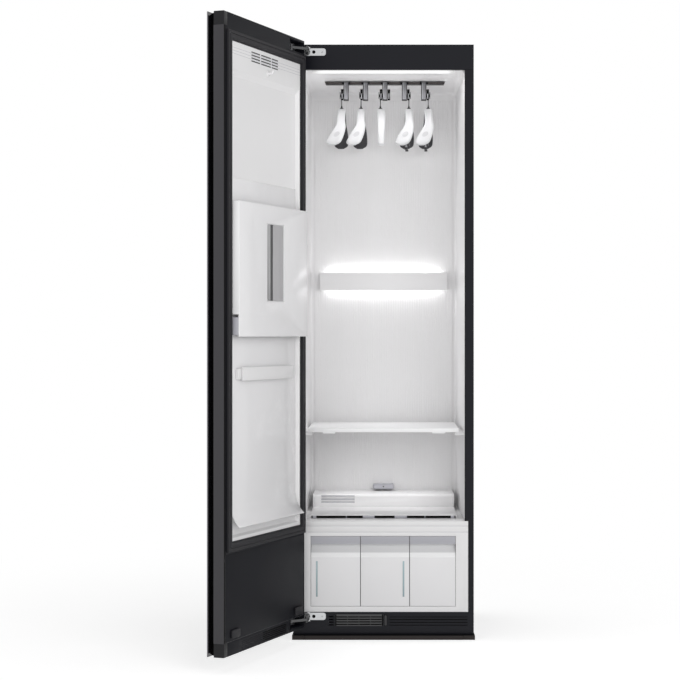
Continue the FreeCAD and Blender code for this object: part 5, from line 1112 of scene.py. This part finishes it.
class CABINET_OT_base(bpy.types.Operator):
    """Kick plate with its vent, ridges and turn button"""
    bl_idname = "cabinet.base"
    bl_label = "Base grille"

    def execute(self, context):
        shape = from_node("base_grille", 0.4, ["shell", "void"],
                          [("void", lambda middle, normal: 0.4 < middle.y < 1.6 and 15.0 < middle.x)])
        for z in (45.8, 55.2, 65.0):
            shape.slab((18.0, 277.0), (-0.12, 0.6), (z, z + 1.7), "void", 0.0)
        shape.make("kick_plate", "cabinet", ("base_grille",), "black_trim")
        low, high = span("vent_insert")
        shape = from_node("vent_insert", 0.35, ["vent", "void"])
        shape.slab((low.x + 2.0, high.x - 2.0), (high.y + 0.2, high.y + 0.8),
                   (low.z + 2.0, high.z - 2.0), "void", 0.0)
        for left, right in ((low.x + 0.3, low.x + 4.5), (high.x - 4.5, high.x - 0.3)):
            shape.slab((left, right), (low.y - 0.3, low.y + 2.0), (low.z + 0.3, high.z - 0.3), "void", 0.4)
        shape.make("vent_bars", "cabinet", ("vent_insert",), "vent_grey")
        low, high = span("vent_latch")
        middle = (low + high) / 2
        half, round_end = (high.z - low.z) / 2 - 5.5, 5.3
        outline = []
        for k in range(24):
            angle = math.tau * k / 24
            outline.append((round_end * math.cos(angle),
                            math.copysign(half, math.sin(angle)) + round_end * math.sin(angle)))
        shape = Shape("void", "vent_dark")
        for layers, finish in ((((-0.5, 1.0), (-2.6, 1.0), (-3.3, 0.94), (-3.4, 0.80)), "void"),
                               (((-3.3, 0.78), (-3.8, 0.74), (-3.95, 0.62)), "vent_dark")):
            shape.rings([[Vector((middle.x + x * grow, y, middle.z + z * (1 - (1 - grow) * 0.3)))
                          for x, z in outline] for y, grow in layers], finish)
        shape.make("vent_turn_button", "vent_button", ("vent_latch",), "black_trim")
        return {"FINISHED"}


class CABINET_OT_machinery(bpy.types.Operator):
    """Compressor, exchangers, blower, boiler and electronics in the machine space"""
    bl_idname = "cabinet.machinery"
    bl_label = "Machinery"

    def execute(self, context):
        dress("compressor", 1.2, "iron", "iron")
        for node, finish in (("heat_exchangers", "fins"), ("fan_housing", "board"), ("fan_rotor", "board"),
                             ("steam_generator", "boiler"), ("control_board", "board")):
            paint(node, finish)
        return {"FINISHED"}


# ---------------------------------------------------------------- door

LINER_LEFT, LINER_RIGHT, LINER_LOW, LINER_HIGH = -266.0, 250.0, 386.5, 1881.5
HINGE_LEVELS = (76.0, 1934.5)


class CABINET_OT_door(bpy.types.Operator):
    """Mirror glass, black core, end caps, lower panel and its trim"""
    bl_idname = "cabinet.door"
    bl_label = "Door"

    def execute(self, context):
        free_edge = HALF - 1.0
        # The glass's free edge is grey: a painted reflection.
        dress("door_glass_panel", 1.0, "mirror", "black_glass",
              [("glass_edge_reflection", lambda middle, normal: normal.x > 0.5)], on_door=True)
        # The free edge's face is the lighter black: a painted highlight where it faces the light.
        shape = from_node("door_frame", 0.7, ["door_black", "edge_highlight", "void", "hinge"], [
            ("edge_highlight", lambda middle, normal: normal.x > 0.7 and middle.x > free_edge),
            ("void", lambda middle, normal: middle.y < CORE_BACK - 0.5),
            ("hinge", lambda middle, normal: (
                -41.5 < middle.y < -12.0 and abs(middle.x + 248.0) < 40.0
                and any(abs(middle.z - level) < 16.2 for level in HINGE_LEVELS)))], on_door=True)
        # A black strip on the inner face along the free edge: painted shade in the groove there.
        shape.slab((HALF - 10.5, HALF - 0.8), (INNER - 1.0, INNER + 0.15),
                   (span("door_frame")[0].z + 42.0, TOP - 42.0), "void", 0.0)
        shape.make("door_core", "door", ("door_frame",), "black_trim", True)
        dress("door_end_caps", 0.9, "trim", "black_trim", on_door=True)
        shape = from_node("door_lower_panel", sizes()["moulded_edge"], ["door_black", "edge_highlight"],
                          on_door=True)
        # Two thin lighter strips along the kick panel's foot and free edge: painted highlights on those
        # edges.
        shape.slab((-HALF + 7.6, HALF - 7.6), (INNER - 2.0, INNER + 0.25), (91.9, 93.0), "edge_highlight", 0.3)
        shape.slab((HALF - 8.6, HALF - 7.5), (INNER - 2.0, INNER + 0.25), (92.2, 352.8), "edge_highlight", 0.3)
        shape.make("door_kick_panel", "door", ("door_lower_panel",), "black_trim", True)
        dress("door_bottom_trim", 0.4, "door_black", "black_trim",
              [("void", lambda middle, normal: middle.y < INNER - 1.5)], on_door=True)
        dress("door_bumpers", 1.8, "rubber", "rubber_black", on_door=True)
        return {"FINISHED"}


class CABINET_OT_seal(bpy.types.Operator):
    """The magnetic seal round the door liner"""
    bl_idname = "cabinet.seal"
    bl_label = "Door seal"

    def execute(self, context):
        wide = sizes()["seal_width"]
        profile = [(0.0, 0.0), (0.0, 2.2), (0.6, 3.0), (1.8, 3.0), (2.6, 3.8), (3.0, 5.4), (4.2, 6.9),
                   (6.6, 7.5), (17.0, 7.5), (18.6, 7.0), (19.4, 5.6), (20.4, 5.6), (21.2, 7.0), (22.6, 7.5),
                   (29.4, 7.5), (31.0, 6.9), (31.8, 5.4), (32.0, 3.0), (32.0, 0.0)]
        drawn_width = profile[-1][0]
        shape = Shape("rubber")
        left, right, low, high = LINER_LEFT - 0.5, LINER_RIGHT + 0.5, LINER_LOW + 0.5, LINER_HIGH - 0.5
        rings = []
        for out, up in profile:
            out *= wide / drawn_width
            corners = ((left - out, low - out), (right + out, low - out),
                       (right + out, high + out), (left - out, high + out))
            rings.append([Vector((x, INNER + up, z)) for x, z in corners])
        shape.rings(rings, "rubber", closed_ends=False, loop=True)
        shape.make("door_seal", "door", ("door_gasket",), "rubber_black", True, 24.0)
        return {"FINISHED"}


class CABINET_OT_door_lining(bpy.types.Operator):
    """White inner tray, coat hook, trouser plate and hem bar"""
    bl_idname = "cabinet.door_lining"
    bl_label = "Door lining"

    def execute(self, context):
        self.tray()
        dress("trouser_plate", 0.8, "pearl", "pearl", on_door=True)
        self.hem()
        self.hook()
        return {"FINISHED"}

    def hem(self):
        """The flat bar with its brackets; the one at the free end reaches beyond the bar."""
        back, front = INNER - 10.0, INNER + 6.0
        left, right, low, high = 103.5 - HALF, span_closed("hem_bar")[1].x, 865.0, 905.0
        shape = Shape("matte", "grip")
        shape.slab((left, right - 20.0), (front - 4.0, front), (low, high), "matte", 1.2)
        shape.slab((right - 26.0, right), (back, front - 4.5), (low + 4.0, high - 3.0), "matte", 2.0)
        shape.slab((left + 8.0, left + 22.0), (back, front - 3.0), (low + 3.0, high - 3.0), "matte", 1.0)
        shape.make("hem_rail", "door", ("hem_bar",), "white_matte", True)

    def tray(self):
        """A round-cornered tray: a rim all round, a sloped recess, and a head with air slots."""
        shape = Shape("liner", "slot", "groove_shade", "pin")
        left, right, low, high = LINER_LEFT, LINER_RIGHT, LINER_LOW, LINER_HIGH
        top, floor = 1796.0, INNER - 13.0
        rings = [frame_outline(left, right, low, high, INNER - 16.5, 5.0)]
        for k in range(7):
            turn = math.radians(90 * k / 6)
            inset = 1.8 * (1 - math.cos(turn))
            rings.append(frame_outline(left + inset, right - inset, low + inset, high - inset,
                                       INNER - 1.8 + 1.8 * math.sin(turn), 5.0 - inset))
        for k in range(5):
            turn = math.radians(72 * k / 4)
            inset, sink = 10.6 + 1.6 * math.sin(turn), 1.6 * (1 - math.cos(turn))
            rings.append(frame_outline(left + inset, right - inset, low + inset, top + 10.6 - inset,
                                       INNER - sink, 5.0))
        rings.append(frame_outline(left + 12.6, right - 12.6, low + 16.0, top - 15.0, floor + 1.6, 4.6))
        rings.append(frame_outline(left + 13.2, right - 13.2, low + 17.6, top - 18.0, floor, 4.0))
        shape.rings(rings, "liner")
        pitch = 9.0
        # The air slots are dark slabs on the head: painted shade in the slots.
        for start, wide in ((209.0, 47.0), (262.0, 72.0), (342.0, 62.0)):
            for k in range(4):
                z = high - 45.5 + pitch * k
                shape.slab((start - HALF, start + wide - HALF), (INNER - 2.0, INNER + 0.12), (z, z + 4.0),
                           "slot", 0.1)
        # Three fine grey lines across the head: painted shade in its grooves.
        for k in range(3):
            z = high - 38.9 + pitch * k
            shape.slab((left + 3.0, right - 3.0), (INNER - 2.0, INNER + 0.08), (z, z + 0.9), "groove_shade", 0.0)
        pivot = 40.8 - HALF
        for near, far, pin in ((1012.0, 1023.7, (1022.0, 1035.0)), (1376.3, 1388.0, (1365.0, 1378.0))):
            shape.slab((pivot - 5.0, pivot + 5.0), (INNER - 1.0, INNER + 19.0), (near, far), "liner", 1.4)
            shape.turned([(2.6, pin[0]), (3.0, pin[0] + 0.5), (3.0, pin[1] - 0.5), (2.6, pin[1])], "pin",
                         (pivot, INNER + 14.0, 0.0), sides=20)
        shape.make("door_tray", "door", ("door_liner",), "white_liner", True, 19.0)

    def hook(self):
        """A small coat hook on a round plate, bent upwards."""
        x, low = -HALF + 284.0, LINER_HIGH - 66.5
        plate = [(8.6, 0.0), (9.0, 1.0), (8.6, 2.4), (6.0, 3.0), (3.6, 3.2)]
        shape = Shape("pearl")
        shape.turned(plate, "pearl", (x, INNER, low), "y", 28)
        points = [(x, INNER + 2.6 + 1.6 * k, low) for k in range(7)]
        for k in range(1, 9):
            angle = math.radians(90 * k / 8)
            points.append((x, INNER + 12.2 + 4.6 * math.sin(angle), low + 4.6 - 4.6 * math.cos(angle)))
        points += [(x, INNER + 16.8, low + 7.0), (x, INNER + 17.0, low + 10.0), (x, INNER + 17.0, low + 12.0)]
        shape.tube(points, [3.1] * (len(points) - 2) + [3.4, 2.2], "pearl", 16)
        shape.make("coat_hook", "door", ("door_hook",), "white_liner", True)


class CABINET_OT_press(bpy.types.Operator):
    """Trouser press with its window and sliding catch"""
    bl_idname = "cabinet.press"
    bl_label = "Trouser press"

    def execute(self, context):
        # The free edge's skirt is the brighter white: a painted highlight.
        dress("press_plate", sizes()["soft_edge"], "pearl", "pearl",
              [("bevel", lambda middle, normal: normal.x > 0.6)], on_door=True)
        low, high = 1106.0, 1346.0
        left, right = -HALF + 219.0, -HALF + 348.0
        face, wide = INNER + 24.0, right - left
        shape = Shape("pane", "pane_light", "pane_dark", "grip")
        shape.slab((left - 3.0, right + 3.0), (face - 3.0, face - 0.4), (low - 3.0, high + 3.0), "pane", 0.6)
        for finish, start, end, y in (("pane_light", 0.0, 0.62, face), ("pane_dark", 0.62, 0.76, face - 0.1),
                                      ("pane", 0.76, 1.0, face - 0.1)):
            shape.slab((left + wide * start, left + wide * end), (face - 0.8, y), (low, high), finish, 0.2)
        inner = [frame_outline(left + inset, right - inset, low + inset, high - inset, y, 9.0)
                 for inset, y in ((0.0, face - 0.5), (0.0, face + 1.6), (0.8, face + 2.4), (1.8, face + 2.2),
                                  (2.6, face - 0.5))]
        shape.rings(inner, "grip", closed_ends=False)
        shape.make("press_pane", "press", ("press_window",), "grey_plastic", True)
        dress("press_latch", 0.8, "grey", "grey_plastic", on_door=True)
        return {"FINISHED"}


class CABINET_OT_hinges(bpy.types.Operator):
    """Two-arm hinges at the top and bottom of the door"""
    bl_idname = "cabinet.hinges"
    bl_label = "Hinges"

    def execute(self, context):
        edge = sizes()["machined_edge"]
        hole = [(5.6, 0.2), (5.6, -0.3), (4.6, -0.45), (3.0, -0.45)]
        shape = from_node("hinge_plates", edge, ["hinge", "pin", "void"])
        for level in HINGE_LEVELS:
            for x in (-HALF + 56.0, -HALF + 97.0):
                shape.screw((x, -5.0, level), -1, "pin", 3.4, 1.4)
            # The hole is a shallow dish in black: painted shade in the hole.
            shape.turned(hole, "void", (-HALF + 68.0, -5.0, level), "y", 24)
            for way in (-1, 1):
                head = [(4.4, 14.0 * way), (4.4, 14.8 * way), (3.4, 15.4 * way), (1.0, 15.5 * way)]
                shape.turned(head, "pin", (-HALF + 49.5, -14.0, level), sides=24)
        shape.make("hinge_seats_cabinet", "cabinet", ("hinge_plates",), "hinge_metal")
        dress("hinge_arms_cabinet", edge * 0.6, "link", "hinge_metal")
        shape = from_node("hinge_arms_door", edge * 0.6, ["link", "pin", "void"])
        for level in HINGE_LEVELS:
            self.links(shape, level)
        shape.make("hinge_links", body_of("hinge_arms_door"), ("hinge_arms_door",), "hinge_metal")
        return {"FINISHED"}

    def links(self, shape, level):
        """Rivets, dark notches and a closing spring along the outer face of a door arm."""
        turn = Matrix.Translation((-250.7, -69.8, level)) @ Matrix.Rotation(math.radians(213.2), 4, "Z")
        for start, wide, finish in ((15.0, 3.5, "pin"), (21.0, 4.0, "void"), (44.0, 4.0, "pin"),
                                    (50.0, 3.0, "void")):
            shape.slab((start, start + wide), (3.0, 4.2), (-4.4, 4.4), finish, 0.7, turn=turn)
        angles = [k * math.tau / 9 for k in range(55)]
        coil = [turn @ Vector((27.0 + 14.0 * k / 54, 1.6 + 2.6 * math.cos(angle), 3.6 * math.sin(angle)))
                for k, angle in enumerate(angles)]
        shape.tube(coil, 0.7, "pin", 6)


# ---------------------------------------------------------------- stage

class CABINET_OT_stage(bpy.types.Operator):
    """White floor, soft studio light and the camera"""
    bl_idname = "cabinet.stage"
    bl_label = "Stage"

    even_light = 0.46
    floor_glow = 0.56

    def execute(self, context):
        scene = context.scene
        scene.view_settings.view_transform = "Standard"
        self.floor()
        self.world(scene)
        self.lamps()
        self.camera(scene)
        return {"FINISHED"}

    def floor(self):
        """A wide pale floor that fades to white away from the cabinet."""
        mesh = bpy.data.meshes.new("studio_floor")
        part = bmesh.new()
        bmesh.ops.create_grid(part, x_segments=8, y_segments=8, size=14.0)
        part.to_mesh(mesh)
        part.free()
        floor = bpy.data.objects.new("studio_floor", mesh)
        floor.location = (0.0, 0.0, -0.0005)
        bpy.context.scene.collection.objects.link(floor)
        paper = Finish("white paper", Roughness=0.9, Specular_IOR_Level=0.2)
        paper.shade(Base_Color=paper.mix(paper.noise(3.0), (0.80, 0.80, 0.80), (0.82, 0.82, 0.82)))
        glow = paper.node("ShaderNodeEmission", {}, {"Color": (1.0, 1.0, 1.0), "Strength": self.floor_glow})
        unlit = paper.node("ShaderNodeEmission", {}, {"Color": (0.0, 0.0, 0.0), "Strength": 0.0})
        white = paper.node("ShaderNodeEmission", {}, {"Color": (1.0, 1.0, 1.0), "Strength": 1.0})
        shown = paper.node("ShaderNodeMixShader", {}, {0: paper.seen_plainly(), 1: unlit, 2: glow})
        near = paper.node("ShaderNodeAddShader", {}, {0: Signal(paper, paper.shader.outputs[0]), 1: shown})
        spread = paper.node("ShaderNodeVectorMath", {"operation": "LENGTH"}, {0: paper.place()}, "Value")
        far = paper.ranged(spread, 0.9, 2.6)
        paper.feed(paper.result.inputs[0], paper.node("ShaderNodeMixShader", {}, {0: far, 1: near, 2: white}))
        mesh.materials.append(paper.material)

    def world(self, scene):
        """White where it is seen, and a plain even light on the object."""
        scene.world = bpy.data.worlds.new("studio")
        air = Web(scene.world)
        plain, seen = (air.node("ShaderNodeBackground", {}, {"Color": (1.0, 1.0, 1.0), "Strength": strength})
                       for strength in (self.even_light, 1.0))
        blend = air.node("ShaderNodeMixShader", {}, {0: air.seen_plainly(), 1: plain, 2: seen})
        air.node("ShaderNodeOutputWorld", {}, {0: blend})

    def lamps(self):
        """A broad light over the front, and soft fill inside the room at its lamps."""
        for name, place, aim, size, power, spread in (
                ("key_light", (1.5, -4.4, 2.2), (0.0, 0.2, 0.9), (2.6, 2.2), 62.0, 180),
                ("front_fill", (-0.9, -4.6, 0.7), (0.0, 0.2, 0.8), (2.8, 1.6), 46.0, 180),
                ("roof_glow", (0.0, 0.040, 1.868), (0.0, 0.20, 0.9), (0.44, 0.03), 0.64, 180),
                ("ceiling_glow", (0.0, 0.230, 1.300), (0.0, 0.231, 2.0), (0.40, 0.30), 0.22, 70),
                ("room_glow", (0.0, 0.240, 1.120), (0.0, 0.241, 0.0), (0.42, 0.22), 0.14, 70),
                ("left_glow", (-0.255, 0.200, 1.150), (0.0, 0.200, 1.150), (0.22, 1.20), 0.48, 90),
                ("shelf_glow", (0.0, 0.320, 0.668), (0.0, 0.321, 0.0), (0.46, 0.22), 0.245, 80),
                ("wall_glow_up", (0.0, 0.462, 1.214), (0.0, 0.462, 2.2), (0.41, 0.010), 0.175, 180),
                ("wall_glow_down", (0.0, 0.462, 1.171), (0.0, 0.462, 0.2), (0.41, 0.010), 0.155, 180)):
            data = bpy.data.lights.new(name, "AREA")
            data.shape = "RECTANGLE"
            data.size, data.size_y = size
            data.energy = power
            data.spread = math.radians(spread)
            lamp = bpy.data.objects.new(name, data)
            lamp.location = place
            heading = Vector(aim) - Vector(place)
            lamp.rotation_euler = heading.to_track_quat("-Z", "Y").to_euler()
            lamp.visible_camera = False
            lamp.visible_glossy = False
            bpy.context.scene.collection.objects.link(lamp)

    def camera(self, scene):
        """A level camera in front of the open side; its focal length and shifts are in picture points."""
        points, focal, aside, up = 680.0, 1775.0, -43.5, -5.75
        data = bpy.data.cameras.new("front_camera")
        data.sensor_width = 36.0
        data.lens = focal / points * data.sensor_width
        data.shift_x, data.shift_y = aside / points, up / points
        camera = bpy.data.objects.new("front_camera", data)
        camera.location = (0.0, -5.85, 1.005)
        camera.rotation_euler = (math.radians(90), 0.0, 0.0)
        scene.collection.objects.link(camera)
        scene.camera = camera


class CABINET_PT_panel(bpy.types.Panel):
    """Sizes, colours and the steps that finish the cabinet"""
    bl_idname = "CABINET_PT_panel"
    bl_label = "Steam cabinet"
    bl_space_type = "VIEW_3D"
    bl_region_type = "UI"
    bl_category = "Cabinet"

    def draw(self, context):
        for group, kind in ((context.scene.cabinet_sizes, CabinetSizes),
                            (context.scene.cabinet_colours, CabinetColours)):
            column = self.layout.column(align=True)
            for name in kind.__annotations__:
                column.prop(group, name)
        for step in STEPS:
            self.layout.operator(step.bl_idname)


STEPS = (CABINET_OT_shell, CABINET_OT_cavity, CABINET_OT_lamps, CABINET_OT_shelf, CABINET_OT_rail,
         CABINET_OT_hangers, CABINET_OT_machine_front, CABINET_OT_base, CABINET_OT_machinery, CABINET_OT_door,
         CABINET_OT_seal, CABINET_OT_door_lining, CABINET_OT_press, CABINET_OT_hinges, CABINET_OT_stage)
CLASSES = (CabinetSizes, CabinetColours, *STEPS, CABINET_PT_panel)


def register():
    for kind in CLASSES:
        bpy.utils.register_class(kind)
    bpy.types.Scene.cabinet_sizes = PointerProperty(type=CabinetSizes)
    bpy.types.Scene.cabinet_colours = PointerProperty(type=CabinetColours)


def unregister():
    del bpy.types.Scene.cabinet_colours
    del bpy.types.Scene.cabinet_sizes
    for kind in reversed(CLASSES):
        bpy.utils.unregister_class(kind)


def main():
    register()
    make_finishes(bpy.context.scene.cabinet_colours)
    for step in STEPS:
        group, name = step.bl_idname.split(".")
        getattr(getattr(bpy.ops, group), name)()


if __name__ == "__main__":
    main()
